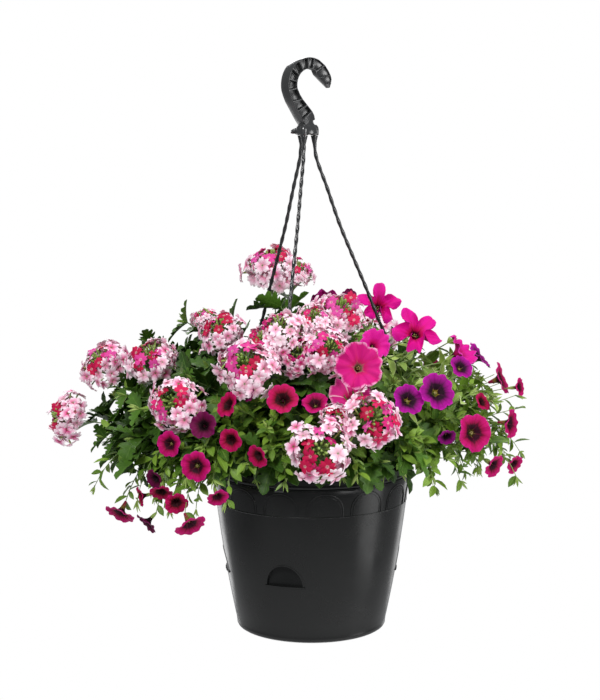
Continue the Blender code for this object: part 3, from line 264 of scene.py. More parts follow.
# Plants, each named for its kind: crown, the azimuths and tiers of its share of the mound, the flowers it
# carries by number, and the tips of its leafy shoots
PLANTS = {
    "verbena_left": {
        "crown": (-0.060, 0.000), "seed": 11, "mound": (-135, -40), "tiers": (1, 2, 3, 4, 5),
        "flowers": {"verbena_head": (1, 2, 3, 4), "young_head": (3,)},
        "shoots": ((-0.245, -0.050, 0.240), (-0.215, 0.030, 0.300), (-0.165, -0.095, 0.330),
                   (-0.205, -0.100, 0.215), (-0.235, -0.010, 0.215), (-0.150, 0.010, 0.370),
                   (-0.120, -0.030, 0.385), (-0.195, 0.010, 0.345)),
    },
    "verbena_centre": {
        "crown": (-0.010, -0.045), "seed": 12, "mound": (-60, 40), "tiers": (2, 4, 5, 6),
        "flowers": {"verbena_head": (6, 7, 8, 9, 10, 11, 12), "young_head": (1, 2, 4, 6)},
        "shoots": ((0.075, -0.170, 0.235), (-0.050, -0.160, 0.235), (0.115, -0.120, 0.265)),
    },
    "verbena_back": {
        "crown": (-0.010, 0.055), "seed": 13, "mound": (120, 240), "tiers": (2, 3, 4, 5, 6),
        "flowers": {"verbena_head": (5, 13, 14, 15), "young_head": (5,)},
        "shoots": ((-0.170, 0.120, 0.285), (0.150, 0.145, 0.250), (-0.050, 0.190, 0.260),
                   (-0.045, 0.060, 0.395)),
    },
    "calibrachoa_left": {
        "crown": (-0.070, -0.045), "seed": 21, "mound": (-95, -5), "tiers": (0, 1, 2, 3),
        "flowers": {"calibrachoa": (1, 3, 4, 5, 6, 13, 14, 15, 16, 17, 18), "small_bloom": (5, 7, 8, 9, 10)},
        "shoots": ((-0.255, -0.070, 0.185), (-0.095, -0.170, 0.190), (-0.150, -0.150, 0.205),
                   (-0.110, -0.175, 0.215), (-0.180, -0.120, 0.185), (-0.020, -0.170, 0.268),
                   (-0.050, -0.180, 0.275), (0.000, -0.180, 0.288), (0.030, -0.190, 0.292),
                   (-0.075, -0.180, 0.235), (-0.030, -0.185, 0.215), (0.050, -0.190, 0.225),
                   (-0.160, -0.150, 0.175), (-0.200, -0.120, 0.180), (-0.130, -0.165, 0.180),
                   (-0.120, -0.165, 0.250), (-0.140, -0.160, 0.215)),
    },
    "calibrachoa_right": {
        "crown": (0.070, -0.040), "seed": 22, "mound": (5, 115), "tiers": (0, 1, 2, 3, 4),
        "flowers": {"calibrachoa": (2, 7, 8, 9, 10, 11, 12, 19, 20), "small_bloom": (1, 2, 3, 6)},
        "shoots": ((0.250, -0.045, 0.275), (0.235, -0.110, 0.205), (0.150, -0.150, 0.235),
                   (0.245, -0.060, 0.225), (0.225, -0.020, 0.300), (0.190, -0.100, 0.235),
                   (0.115, -0.165, 0.262), (0.135, -0.150, 0.215), (0.100, -0.165, 0.225),
                   (0.165, -0.120, 0.275), (0.200, -0.090, 0.250), (0.240, -0.050, 0.290),
                   (0.215, -0.050, 0.315), (0.160, -0.110, 0.240)),
    },
    "calibrachoa_back": {
        "crown": (0.020, 0.090), "seed": 23, "mound": (110, 270), "tiers": (0, 1, 2, 3),
        "flowers": {"calibrachoa": (21, 22, 23, 24), "small_bloom": (4,)},
        "shoots": ((0.230, 0.040, 0.210), (0.130, 0.170, 0.190), (-0.160, 0.160, 0.180),
                   (-0.245, 0.050, 0.210)),
    },
    "petunia_plant": {
        "crown": (0.050, 0.020), "seed": 31, "mound": (20, 120), "tiers": (3, 4, 5, 6),
        "flowers": {"petunia": (1, 2, 3, 4, 5, 6, 7)},
        "shoots": ((0.190, 0.050, 0.300), (0.110, 0.090, 0.345), (0.150, -0.060, 0.330),
                   (0.165, 0.010, 0.345), (0.120, -0.060, 0.345)),
    },
}

# The mound of foliage: for each tier its height, its share of the mound's reach and the shoots in a full turn
MOUND_TIERS = (
    (0.188, 0.84, 20), (0.222, 0.96, 26), (0.255, 1.00, 28), (0.288, 0.94, 26), (0.318, 0.78, 20),
    (0.340, 0.55, 14), (0.352, 0.28, 8),
)
MOUND_LEFT = 0.245
MOUND_RIGHT = 0.238
MOUND_FRONT = 0.172
MOUND_BACK = 0.195
# Over the pot's front the lowest tips stay above its rim
FRONT_ANGLE = 48
FRONT_TIP_Z = 0.208

# Stems: where they leave the soil, the points along a flower's and a shoot's, and how thin they end
CROWN_Z = 0.186
FLOWER_STEM_POINTS = 26
SHOOT_STEM_POINTS = 18
STEM_TAPER = 0.55
# Strands are kept clear of leaves up to this height, by this distance
STRAND_CLEAR_Z = 0.44
STRAND_CLEARANCE = 0.006

# Foliage of each kind: stem radius, leaf length, distance between its leaf pairs, leaves at each node,
# and the share of the stem that is bare
FOLIAGE = {
    "verbena": {"stem": 0.0013, "leaf": 0.046, "step": 0.0160, "whorl": 2, "bare": 0.36, "droop": 0.45},
    "calibrachoa": {"stem": 0.0009, "leaf": 0.023, "step": 0.0062, "whorl": 1, "bare": 0.40, "droop": 0.15},
    "petunia": {"stem": 0.0016, "leaf": 0.038, "step": 0.0110, "whorl": 1, "bare": 0.40, "droop": 0.20},
}
GOLDEN_ANGLE = math.pi * (3 - math.sqrt(5))
# Leaves of length 1: finish, rows, half width, how far out it is widest, teeth, fold, droop and waves
LEAF_FORMS = {
    "verbena": ("verbena_leaf", 12, 0.27, 0.80, 0.34, 0.22, 0.26, 0.014),
    "calibrachoa": ("calibrachoa_leaf", 4, 0.23, 1.00, 0.0, 0.20, 0.18, 0.0),
    "petunia": ("petunia_leaf", 7, 0.19, 0.90, 0.0, 0.20, 0.30, 0.012),
    "sepal": ("green_calyx", 4, 0.11, 0.75, 0.0, 0.30, -0.25, 0.0),
    "tip": ("green_calyx", 4, 0.10, 0.9, 0.0, 0.25, 0.10, 0.0),
}

# Plastics: dark and light tone, roughness, the grain's scale, and specular level
PLASTICS = {
    "pot_plastic": ((0.0050, 0.0054, 0.0052), (0.0080, 0.0086, 0.0086), 0.24, 900.0, 0.36),
    "plate_plastic": ((0.010, 0.010, 0.010), (0.018, 0.018, 0.018), 0.50, 900.0, 0.50),
    "hook_plastic": ((0.016, 0.017, 0.018), (0.032, 0.033, 0.034), 0.25, 500.0, 0.70),
    "strand_plastic": ((0.012, 0.013, 0.014), (0.022, 0.023, 0.024), 0.20, 700.0, 0.60),
}
# Leaves: dark and light green, the veins, roughness, and how pale the margin is
LEAF_GREENS = {
    "verbena_leaf": ((0.008, 0.032, 0.003), (0.070, 0.170, 0.014), (0.13, 0.25, 0.04), 0.46, 0.0),
    "calibrachoa_leaf": ((0.024, 0.090, 0.005), (0.230, 0.390, 0.040), (0.34, 0.50, 0.10), 0.42, 0.0),
    "petunia_leaf": ((0.080, 0.180, 0.016), (0.390, 0.540, 0.110), (0.46, 0.60, 0.20), 0.46, 0.7),
}
# Stems, buds and stamens: their two tones
STEM_TONES = {
    "verbena_stem": ((0.06, 0.12, 0.02), (0.14, 0.22, 0.05)),
    "calibrachoa_stem": ((0.12, 0.22, 0.04), (0.26, 0.36, 0.10)),
    "petunia_stem": ((0.14, 0.24, 0.06), (0.28, 0.38, 0.14)),
    "green_calyx": ((0.16, 0.28, 0.04), (0.36, 0.48, 0.12)),
    "pale_stamen": ((0.26, 0.20, 0.05), (0.42, 0.34, 0.12)),
}
# Trumpets: throat, base of the face, face, edge and eye, how far the throat reaches, how strong the veins
# are, and the stripes
DARK_EYE = (0.006, 0.001, 0.004)
TRUMPET_COLOURS = {
    "crimson_petal": ((0.016, 0.001, 0.003), (0.20, 0.001, 0.018), (0.42, 0.002, 0.075),
                      (0.50, 0.006, 0.150), DARK_EYE, 0.36, 0.9),
    "magenta_petal": ((0.020, 0.001, 0.008), (0.24, 0.001, 0.040), (0.46, 0.002, 0.120),
                      (0.54, 0.010, 0.22), (0.16, 0.12, 0.02), 0.36, 0.9),
    "purple_petal": ((0.012, 0.001, 0.008), (0.12, 0.001, 0.080), (0.30, 0.002, 0.210),
                     (0.50, 0.010, 0.36), (0.46, 0.34, 0.03), 0.38, 0.9),
    "wine_petal": ((0.006, 0.001, 0.003), (0.050, 0.001, 0.014), (0.12, 0.001, 0.045),
                   (0.19, 0.004, 0.10), DARK_EYE, 0.30, 0.8),
    "star_petunia": ((0.035, 0.001, 0.012), (0.46, 0.002, 0.070), (0.64, 0.004, 0.26),
                     (0.68, 0.016, 0.36), DARK_EYE, 0.10, 0.6),
    "broad_petunia": ((0.060, 0.002, 0.020), (0.48, 0.004, 0.110), (0.60, 0.008, 0.26),
                      (0.66, 0.050, 0.40), DARK_EYE, 0.10, 0.6),
    "pale_eyed_petunia": ((0.46, 0.20, 0.24), (0.60, 0.016, 0.14), (0.56, 0.010, 0.19),
                          (0.80, 0.36, 0.56), (0.22, 0.20, 0.07), 0.09, 0.9),
    "striped_petunia": ((0.20, 0.005, 0.05), (0.48, 0.008, 0.09), (0.60, 0.020, 0.22),
                        (0.78, 0.30, 0.48), (0.20, 0.15, 0.05), 0.10, 0.5, (0.88, 0.66, 0.72)),
}


# Materials

def new_material(name, roughness, **values):
    """A Principled material and its shader."""
    made = bpy.data.materials.new(name)
    made.use_nodes = True
    shader = made.node_tree.nodes["Principled BSDF"]
    shader.inputs["Roughness"].default_value = roughness
    for label, value in values.items():
        shader.inputs[label.replace("_", " ")].default_value = value
    return made, shader


def add_node(tree, kind, inputs=None, **settings):
    """A node with its settings, its inputs given as values or as the sockets that feed them."""
    made = tree.nodes.new(kind)
    for key, value in settings.items():
        setattr(made, key, value)
    for key, value in (inputs or {}).items():
        if isinstance(value, bpy.types.NodeSocket):
            tree.links.new(value, made.inputs[key])
        else:
            made.inputs[key].default_value = value
    return made


def object_place(shader):
    return add_node(shader.id_data, "ShaderNodeTexCoord").outputs["Object"]


def attribute(shader, name, output):
    return add_node(shader.id_data, "ShaderNodeAttribute", attribute_name=name).outputs[output]


def apart(vector):
    """The three numbers of a vector."""
    return add_node(vector.id_data, "ShaderNodeSeparateXYZ", {0: vector}).outputs


def sums(operation, first, second=0.0):
    return add_node(first.id_data, "ShaderNodeMath", {0: first, 1: second}, operation=operation).outputs[0]


def times(first, second):
    return sums('MULTIPLY', first, second)


def noise_at(place, scale, detail=3.0, stretch=None):
    """A noise value, on coordinates that may be stretched."""
    tree = place.id_data
    if stretch:
        place = add_node(tree, "ShaderNodeMapping", {"Vector": place, "Scale": stretch}).outputs[0]
    inputs = {"Vector": place, "Scale": scale, "Detail": detail}
    return add_node(tree, "ShaderNodeTexNoise", inputs).outputs[0]


def ramp(factor, stops):
    """A colour ramp through stops of position and colour."""
    made = add_node(factor.id_data, "ShaderNodeValToRGB", {"Fac": factor})
    line = made.color_ramp
    while len(line.elements) < len(stops):
        line.elements.new(0.5)
    for element, (position, colour) in zip(line.elements, stops):
        element.position = position
        element.color = (*colour, 1.0)
    return made.outputs["Color"]


def spread(value, low, high, new_low=0.0, new_high=1.0):
    """The value stretched from one range to another, and kept in it."""
    inputs = {"Value": value, "From Min": low, "From Max": high, "To Min": new_low, "To Max": new_high}
    return add_node(value.id_data, "ShaderNodeMapRange", inputs).outputs[0]


def mix(factor, first, second, blend='MIX'):
    """Two colours mixed, each a socket or a plain colour."""
    colours = [value if isinstance(value, bpy.types.NodeSocket) else (*value, 1.0)
               for value in (first, second)]
    return add_node(factor.id_data, "ShaderNodeMix", {0: factor, 6: colours[0], 7: colours[1]},
                    data_type='RGBA', blend_type=blend).outputs[2]


def paint(shader, colour):
    shader.id_data.links.new(colour, shader.inputs["Base Color"])


def bump(shader, height, strength, distance):
    tree = shader.id_data
    inputs = {"Height": height, "Strength": strength, "Distance": distance}
    tree.links.new(add_node(tree, "ShaderNodeBump", inputs).outputs[0], shader.inputs["Normal"])


def moulded_plastic(name, dark, light, roughness, grain, level):
    """Dark moulded plastic: faint flow marks, a fine satin grain and uneven gloss."""
    made, shader = new_material(name, roughness, Specular_IOR_Level=level)
    place = object_place(shader)
    paint(shader, ramp(noise_at(place, 9.0, 4.0, (1.0, 1.0, 0.25)), ((0.35, dark), (0.70, light))))
    gloss = spread(noise_at(place, 34.0), 0.3, 0.7, roughness - 0.05, roughness + 0.06)
    shader.id_data.links.new(gloss, shader.inputs["Roughness"])
    bump(shader, noise_at(place, grain, 2.0), 0.08, 0.0001)
    return made


def soil_material():
    """Damp potting mix: dark crumbs with paler fibres."""
    made, shader = new_material("damp_soil", 0.95)
    place = object_place(shader)
    crumbs = add_node(shader.id_data, "ShaderNodeTexVoronoi", {"Vector": place, "Scale": 260.0})
    patches = noise_at(place, 60.0, 6.0)
    paint(shader, ramp(patches, ((0.30, (0.010, 0.006, 0.004)), (0.55, (0.040, 0.023, 0.013)),
                                 (0.75, (0.090, 0.055, 0.030)))))
    bump(shader, sums('ADD', crumbs.outputs["Distance"], patches), 0.8, 0.0015)
    return made


def leaf_material(name, dark, light, vein, roughness, margin):
    """A leaf: paler midrib and side veins, patchy green, its own tone for each leaf, maybe a pale margin."""
    made, shader = new_material(name, roughness, Specular_IOR_Level=0.35)
    along, side, _ = apart(attribute(shader, "form", "Vector"))
    across = sums('ABSOLUTE', side)
    tone = attribute(shader, "tone", "Fac")
    patches = noise_at(object_place(shader), 70.0, 4.0)
    green = ramp(sums('ADD', times(patches, 0.55), times(tone, 0.60)), ((0.20, dark), (0.85, light)))
    rib = spread(across, 0.0, 0.10, 1.0, 0.0)
    slanted = sums('SUBTRACT', times(along, 7.0), times(across, 2.4))
    ridge = sums('ABSOLUTE', sums('SUBTRACT', sums('FRACT', slanted), 0.5))
    veins = times(sums('MAXIMUM', rib, spread(ridge, 0.0, 0.12, 0.6, 0.0)), 0.55)
    green = mix(veins, green, vein)
    if margin:
        pale_edge = times(spread(across, 0.72, 0.95), spread(tone, 0.3, 0.9))
        green = mix(times(pale_edge, margin), green, (0.72, 0.76, 0.48))
    paint(shader, green)
    bump(shader, sums('SUBTRACT', patches, veins), 0.5, 0.0006)
    return made


def stem_material(name, low, high):
    """A stem, bud or stamen: two tones in patches, finely rough."""
    made, shader = new_material(name, 0.5)
    place = object_place(shader)
    paint(shader, ramp(noise_at(place, 45.0), ((0.3, low), (0.7, high))))
    bump(shader, noise_at(place, 900.0), 0.3, 0.0002)
    return made


def verbena_material():
    """Verbena petals: crimson round the head's green middle, pale pink outside, and no two florets alike."""
    made, shader = new_material("verbena_petal", 0.65, Specular_IOR_Level=0.25)
    form = attribute(shader, "form", "Vector")
    reach = add_node(shader.id_data, "ShaderNodeVectorMath", {0: form}, operation='LENGTH').outputs["Value"]
    tone = attribute(shader, "tone", "Fac")
    outer = ramp(reach, ((0.08, (0.28, 0.05, 0.06)), (0.18, (0.66, 0.06, 0.22)), (0.34, (0.80, 0.24, 0.44)),
                         (0.60, (0.93, 0.60, 0.74)), (1.0, (0.98, 0.84, 0.90))))
    inner = ramp(tone, ((0.0, (0.44, 0.002, 0.045)), (0.20, (0.58, 0.005, 0.080)),
                        (0.32, (0.62, 0.015, 0.20)), (0.45, (0.68, 0.08, 0.36))))
    inner = mix(spread(reach, 0.10, 0.24, 0.55, 0.0), inner, (0.85, 0.55, 0.60))
    ring = spread(tone, 0.48, 0.52)
    petals = mix(ring, inner, outer)
    whitened = times(times(attribute(shader, "pale", "Fac"), ring), spread(tone, 0.6, 0.95))
    petals = mix(times(whitened, 0.7), petals, (1.0, 0.94, 0.96))
    streaks = noise_at(object_place(shader), 420.0, 2.0)
    petals = mix(spread(streaks, 0.52, 0.72, 0.0, 0.35), petals, (0.90, 0.45, 0.62), 'MULTIPLY')
    paint(shader, petals)
    bump(shader, streaks, 0.3, 0.0004)
    return made


def trumpet_material(name, throat, base, face, edge, eye, throat_reach, veins, stripes=None):
    """A trumpet's petals: an eye, a throat that runs out along the veins, and the face from its base out."""
    made, shader = new_material(name, 0.60, Specular_IOR_Level=0.12)
    x, y, share = apart(attribute(shader, "form", "Vector"))
    reach = sums('SQRT', sums('ADD', times(x, x), times(y, y)))
    turn = sums('ARCTAN2', y, x)
    patches = noise_at(object_place(shader), 160.0)
    fine = spread(sums('ABSOLUTE', sums('SINE', times(turn, 12.5))), 0.0, 0.45, 1.0, 0.0)
    off_middle = sums('ABSOLUTE', sums('COSINE', times(turn, 2.5)))
    ribs = spread(off_middle, 0.0, 0.30, 1.0, 0.0)
    vein = times(sums('MAXIMUM', ribs, times(fine, 0.6)), veins)
    shifted = sums('SUBTRACT', reach, times(vein, 0.16))
    shifted = sums('ADD', shifted, times(sums('SUBTRACT', patches, 0.5), 0.10))
    colour = ramp(shifted, ((0.05, eye), (0.10, throat), (throat_reach, throat), (throat_reach + 0.09, base),
                            (throat_reach + 0.32, face), (0.84, face), (1.0, edge)))
    if stripes:
        band = times(spread(off_middle, 0.0, 0.22, 1.0, 0.0), spread(reach, 0.15, 0.40))
        colour = mix(band, colour, stripes)
    colour = mix(times(vein, 0.34), colour, base)
    colour = mix(spread(share, 0.26, 0.36, 1.0, 0.0), colour, base)
    paint(shader, colour)
    bump(shader, sums('ADD', patches, vein), 0.35, 0.0006)
    return made


def make_materials():
    """Every finish of the basket, by name."""
    made = {"damp_soil": soil_material(), "verbena_petal": verbena_material()}
    for recipe, table in ((moulded_plastic, PLASTICS), (leaf_material, LEAF_GREENS),
                          (stem_material, STEM_TONES), (trumpet_material, TRUMPET_COLOURS)):
        for name, values in table.items():
            made[name] = recipe(name, *values)
    return made


# Modelling helpers

def only(piece):
    """Make the piece the one that is selected and active."""
    bpy.ops.object.select_all(action='DESELECT')
    piece.select_set(True)
    bpy.context.view_layer.objects.active = piece


def linked(name, data):
    """A new object of the data, in the scene."""
    made = bpy.data.objects.new(name, data)
    bpy.context.scene.collection.objects.link(made)
    return made


def joined(name, pieces):
    """The pieces as one object."""
    only(pieces[0])
    for piece in pieces:
        piece.select_set(True)
    if len(pieces) > 1:
        bpy.ops.object.join()
    made = bpy.context.object
    made.name = name
    made.data.name = name
    return made


def changed(piece, kind, **settings):
    """Apply one modifier to the piece."""
    change = piece.modifiers.new("change", kind)
    for key, value in settings.items():
        setattr(change, key, value)
    only(piece)
    bpy.ops.object.modifier_apply(modifier=change.name)


def smooth(piece, angle=40.0):
    only(piece)
    bpy.ops.object.shade_smooth_by_angle(angle=math.radians(angle))


def bevelled(piece, width, angle=30.0):
    changed(piece, 'BEVEL', width=width, segments=2, limit_method='ANGLE', angle_limit=math.radians(angle))


def thickened(piece, thickness, offset=0.0):
    changed(piece, 'SOLIDIFY', thickness=thickness, offset=offset)


def cut_by(target, cutter, operation='DIFFERENCE'):
    changed(target, 'BOOLEAN', operation=operation, object=cutter, solver='MANIFOLD')
    bpy.data.objects.remove(cutter)


def dressed(piece, finish):
    """Give the piece its finish all over."""
    piece.data.materials.clear()
    piece.data.materials.append(MATERIALS[finish])
    return piece


def settled(piece, slot, *nodes):
    """Hang the finished piece: its place goes in its mesh, and it stands for its nodes."""
    piece.data.transform(Matrix.Translation(HANG) @ piece.matrix_world)
    piece.matrix_world = Matrix.Identity(4)
    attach(piece, "root")
    if nodes:
        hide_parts(*nodes)


def flat_form(across, along):
    """The form of a sheet whose finish doesn't follow it."""
    return (0, 0, 0)


def sheet_of(name, columns, rows, place, form=flat_form):
    """A grid shaped point by point: place and form take how far across and along it a point lies, 0 to 1."""
    bpy.ops.mesh.primitive_grid_add(x_subdivisions=columns, y_subdivisions=rows, size=2.0)
    made = bpy.context.object
    made.name = name
    mesh = made.data
    spots = [((vertex.co.x + 1) / 2, (vertex.co.y + 1) / 2) for vertex in mesh.vertices]
    forms = mesh.attributes.new("form", 'FLOAT_VECTOR', 'POINT')
    for index, (across, along) in enumerate(spots):
        mesh.vertices[index].co = place(across, along)
        forms.data[index].vector = form(across, along)
    while mesh.uv_layers:
        mesh.uv_layers.remove(mesh.uv_layers[0])
    return made


def edit(piece):
    """Take the piece into edit mode with all of it selected."""
    only(piece)
    bpy.ops.object.mode_set(mode='EDIT')
    bpy.ops.mesh.select_all(action='SELECT')


def leave_edit():
    bpy.ops.object.mode_set(mode='OBJECT')


def pulled(offset):
    """Extrude what is selected by an offset."""
    bpy.ops.mesh.extrude_region_move(TRANSFORM_OT_translate={"value": offset})


def merged(piece, distance=0.000002):
    """Close the piece's seams and poles, with its faces pointing out."""
    edit(piece)
    bpy.ops.mesh.remove_doubles(threshold=distance)
    bpy.ops.mesh.normals_make_consistent(inside=False)
    leave_edit()
    return piece


def turned(name, profile, steps, z=0.0):
    """A profile drawn by extruding one point, lifted to z and spun round the Z axis."""
    bpy.ops.mesh.primitive_plane_add(size=0.001, location=(0, 0, 0))
    made = bpy.context.object
    made.name = name
    edit(made)
    bpy.ops.mesh.select_mode(type='VERT')
    bpy.ops.mesh.merge(type='CENTER')
    spots = [Vector((radius, 0, z + up)) for radius, up in profile]
    bpy.ops.transform.translate(value=spots[0])
    for here, there in zip(spots, spots[1:]):
        pulled(there - here)
    bpy.ops.mesh.select_all(action='SELECT')
    bpy.ops.mesh.spin(steps=steps, angle=2 * math.pi, center=(0, 0, 0), axis=(0, 0, 1))
    leave_edit()
    return merged(made, 0.00001)


def block(name, size, place, angle=0.0):
    """A box at a place, turned about the Z axis."""
    turn = Matrix.Rotation(angle, 3, 'Z')
    bpy.ops.mesh.primitive_cube_add(size=1.0, location=turn @ Vector(place), rotation=(0, 0, angle))
    made = bpy.context.object
    made.name = name
    made.scale = size
    bpy.ops.object.transform_apply(location=True, rotation=True, scale=True)
    return made


def wire(name, routes, radii, resolution=1, taper=1.0):
    """Round tubes along routes, each thinning to its taper's share at its end, as one mesh."""
    curve = bpy.data.curves.new(name, 'CURVE')
    curve.dimensions = '3D'
    curve.bevel_depth = 1.0
    curve.bevel_resolution = resolution
    curve.use_fill_caps = True
    for route, radius in zip(routes, radii):
        line = curve.splines.new('POLY')
        line.points.add(len(route) - 1)
        for index, (point, place) in enumerate(zip(line.points, route)):
            point.co = (*place, 1.0)
            point.radius = radius * (1 - (1 - taper) * index / (len(route) - 1))
    only(linked(name, curve))
    bpy.ops.object.convert(target='MESH')
    return bpy.context.object


def planted(name, sprigs):
    """Copies of modelled leaves or florets, each in its own frame and tone, joined in one piece."""
    made = []
    for model, place, tone in sprigs:
        mesh = model.data.copy()
        mesh.transform(place)
        add_attribute(mesh, "tone", 'FLOAT', tone)
        made.append(linked(name, mesh))
    return joined(name, made)


def add_attribute(mesh, label, kind='FLOAT_VECTOR', value=None):
    """Give the mesh's points an attribute, zero or one value all over."""
    made = mesh.attributes.new(label, kind, 'POINT')
    if value is not None:
        made.data.foreach_set("value", [value] * len(mesh.vertices))


def stray(rng, amount):
    """A random offset, as likely on each axis."""
    return Vector([rng.gauss(0, amount) for _ in range(3)])


def direction(azimuth, elevation):
    """The unit vector that a flower faces."""
    turn, rise = math.radians(azimuth), math.radians(elevation)
    return Vector((math.sin(turn) * math.cos(rise), -math.cos(turn) * math.cos(rise), math.sin(rise)))


def facing(place, towards, roll=0.0):
    """A frame at the place whose Z axis points along towards."""
    turn = Vector(towards).to_track_quat('Z', 'Y').to_matrix().to_4x4()
    return Matrix.Translation(place) @ turn @ Matrix.Rotation(roll, 4, 'Z')


def around(radius, angle, z):
    """The point at a radius and an angle in degrees round the pot's axis."""
    turn = math.radians(angle)
    return Vector((radius * math.cos(turn), radius * math.sin(turn), z))


def smooth_route(points, count):
    """Points evenly spread along a Catmull-Rom curve through the route's own points."""
    ends = [2 * points[0] - points[1], *points, 2 * points[-1] - points[-2]]
    dense = []
    for index in range(1, len(ends) - 2):
        before, here, there, after = ends[index - 1:index + 3]
        for step in range(12):
            t = step / 12
            dense.append(0.5 * (2 * here + (there - before) * t
                                + (2 * before - 5 * here + 4 * there - after) * t * t
                                + (3 * here - before - 3 * there + after) * t ** 3))
    dense.append(ends[-2])
    return evenly(dense, count)


def evenly(dense, count):
    """A dense line of points, thinned to count points at equal distances."""
    lengths = [0.0]
    for here, there in zip(dense, dense[1:]):
        lengths.append(lengths[-1] + (there - here).length)
    picked = []
    index = 0
    for step in range(count):
        target = lengths[-1] * step / (count - 1)
        while index < len(dense) - 2 and lengths[index + 1] < target:
            index += 1
        span = lengths[index + 1] - lengths[index]
        share = (target - lengths[index]) / span if span else 0.0
        picked.append(dense[index].lerp(dense[index + 1], min(max(share, 0.0), 1.0)))
    return picked


def length_of(route):
    return sum((there - here).length for here, there in zip(route, route[1:]))


# Pot, soil, hook and strands

def wall_radius(z):
    """Outer radius of the pot's wall, a slightly bulging taper."""
    share = z / ARCH_BAND_TOP_Z
    return FOOT_RADIUS + (RIM_RADIUS - 0.0006 - FOOT_RADIUS) * share + WALL_BULGE * share * (1 - share)


def pot_profile():
    """Across the foot, up the outside to the lip, and down the inside to the floor, from axis to axis."""
    outer = [(0.0, 0.0), (FOOT_RADIUS - 0.006, 0.0), (FOOT_RADIUS - 0.0022, 0.0004), (FOOT_RADIUS, 0.0018),
             (FOOT_RADIUS + 0.0012, 0.0040), (FOOT_RADIUS + 0.0013, 0.0060)]
    outer += [(wall_radius(z) - BODY_INSET, z)
              for z in (0.010, 0.020, 0.035, 0.050, 0.065, 0.080, 0.095, 0.110, 0.125, 0.140, 0.150)]
    band = wall_radius(ARCH_BAND_BOTTOM_Z)
    outer += [(band + out, ARCH_BAND_BOTTOM_Z + up)
              for out, up in ((-0.0005, -0.0010), (0.0002, -0.0003), (0.0002, 0.0003), (-0.0001, 0.0008))]
    outer += [(wall_radius(z) - 0.0001, z) for z in (0.165, 0.172, 0.180)]
    outer += [(wall_radius(ARCH_BAND_TOP_Z) - 0.0003, ARCH_BAND_TOP_Z)]
    for z, radius in BEAD_RADII:
        outer += [(radius - 0.0010, z - 0.0010), (radius, z - 0.0004), (radius, z + 0.0004),
                  (radius - 0.0012, z + 0.0010)]
    outer += [(LIP_RADIUS, 0.1975), (LIP_RADIUS, POT_HEIGHT - 0.0006), (LIP_RADIUS - 0.0006, POT_HEIGHT)]
    inner = [(LIP_RADIUS - 0.0016, POT_HEIGHT), (LIP_RADIUS - 0.0021, POT_HEIGHT - 0.0006)]
    inner += [(wall_radius(z) - POT_WALL - BODY_INSET, z) for z in (0.180, 0.150, 0.110, 0.080, 0.040, 0.006)]
    inner += [(FOOT_RADIUS - 0.006, POT_FLOOR), (0.0, POT_FLOOR)]
    return outer + inner


def half_moon(name, width, height, inner, outer, z, angle):
    """A half-moon prism: half of a cylinder lying on its side, cut off level and stretched to its height."""
    bpy.ops.mesh.primitive_cylinder_add(vertices=48, radius=width / 2, depth=outer - inner,
                                        location=(0, 0, 0), rotation=(0, math.pi / 2, 0))
    made = bpy.context.object
    made.name = name
    bpy.ops.object.transform_apply(location=False, rotation=True, scale=False)
    edit(made)
    bpy.ops.mesh.bisect(plane_co=(0, 0, 0), plane_no=(0, 0, 1), use_fill=True, clear_inner=True)
    bpy.ops.mesh.select_all(action='SELECT')
    bpy.ops.transform.resize(value=(1, 1, height / (width / 2)))
    leave_edit()
    low = min(vertex.co.z for vertex in made.data.vertices)
    made.data.transform(Matrix.Translation(((inner + outer) / 2, 0, z - low)))
    made.data.transform(Matrix.Rotation(math.radians(angle), 4, 'Z'))
    return made


def wall_shell(proud):
    """A solid that follows the wall round the windows, a little proud of it."""
    low = WINDOW_SILL_Z - 0.010
    high = WINDOW_SILL_Z + WINDOW_HEIGHT + 0.010
    profile = [(0.0, low), (wall_radius(low) - BODY_INSET + proud, low),
               (wall_radius(high) - BODY_INSET + proud, high), (0.0, high)]
    return turned("wall_shell", profile, POT_STEPS)


def window(pot, angle):
    """The recess of one overflow window, with its raised arched rim and its ledge."""
    back = wall_radius(WINDOW_SILL_Z) - 0.0014
    width = WINDOW_WIDTH + WINDOW_RIM
    boss = half_moon("boss", width, WINDOW_HEIGHT + WINDOW_RIM / 2, back - 0.0060, back + 0.030,
                     WINDOW_SILL_Z - 0.0013, angle)
    cut_by(boss, wall_shell(0.0006), 'INTERSECT')
    cut_by(pot, boss, 'UNION')
    cut_by(pot, half_moon("recess", WINDOW_WIDTH, WINDOW_HEIGHT, back - 0.0044, back + 0.030,
                          WINDOW_SILL_Z, angle))
    ledge = block("ledge", (LEDGE_DEPTH, width, 0.0014),
                  (back + 0.0040 - LEDGE_DEPTH / 2, 0, WINDOW_SILL_Z - 0.0010), math.radians(angle))
    cut_by(ledge, wall_shell(0.0016), 'INTERSECT')
    cut_by(pot, ledge, 'UNION')


def arch_route(angle, half, top):
    """A round-headed arch on the band, from one foot to the other."""
    spring = ARCH_BAND_BOTTOM_Z + (top - ARCH_BAND_BOTTOM_Z) * 0.30
    route = []
    for step in range(4):
        route.append((angle - half, ARCH_BAND_BOTTOM_Z + (spring - ARCH_BAND_BOTTOM_Z) * step / 4))
    for step in range(25):
        turn = math.pi * (1 - step / 24)
        route.append((angle + half * math.cos(turn), spring + (top - spring) * math.sin(turn)))
    for step in range(1, 5):
        route.append((angle + half, spring + (ARCH_BAND_BOTTOM_Z - spring) * step / 4))
    return [around(wall_radius(z) + 0.0001, turn, z) for turn, z in route]


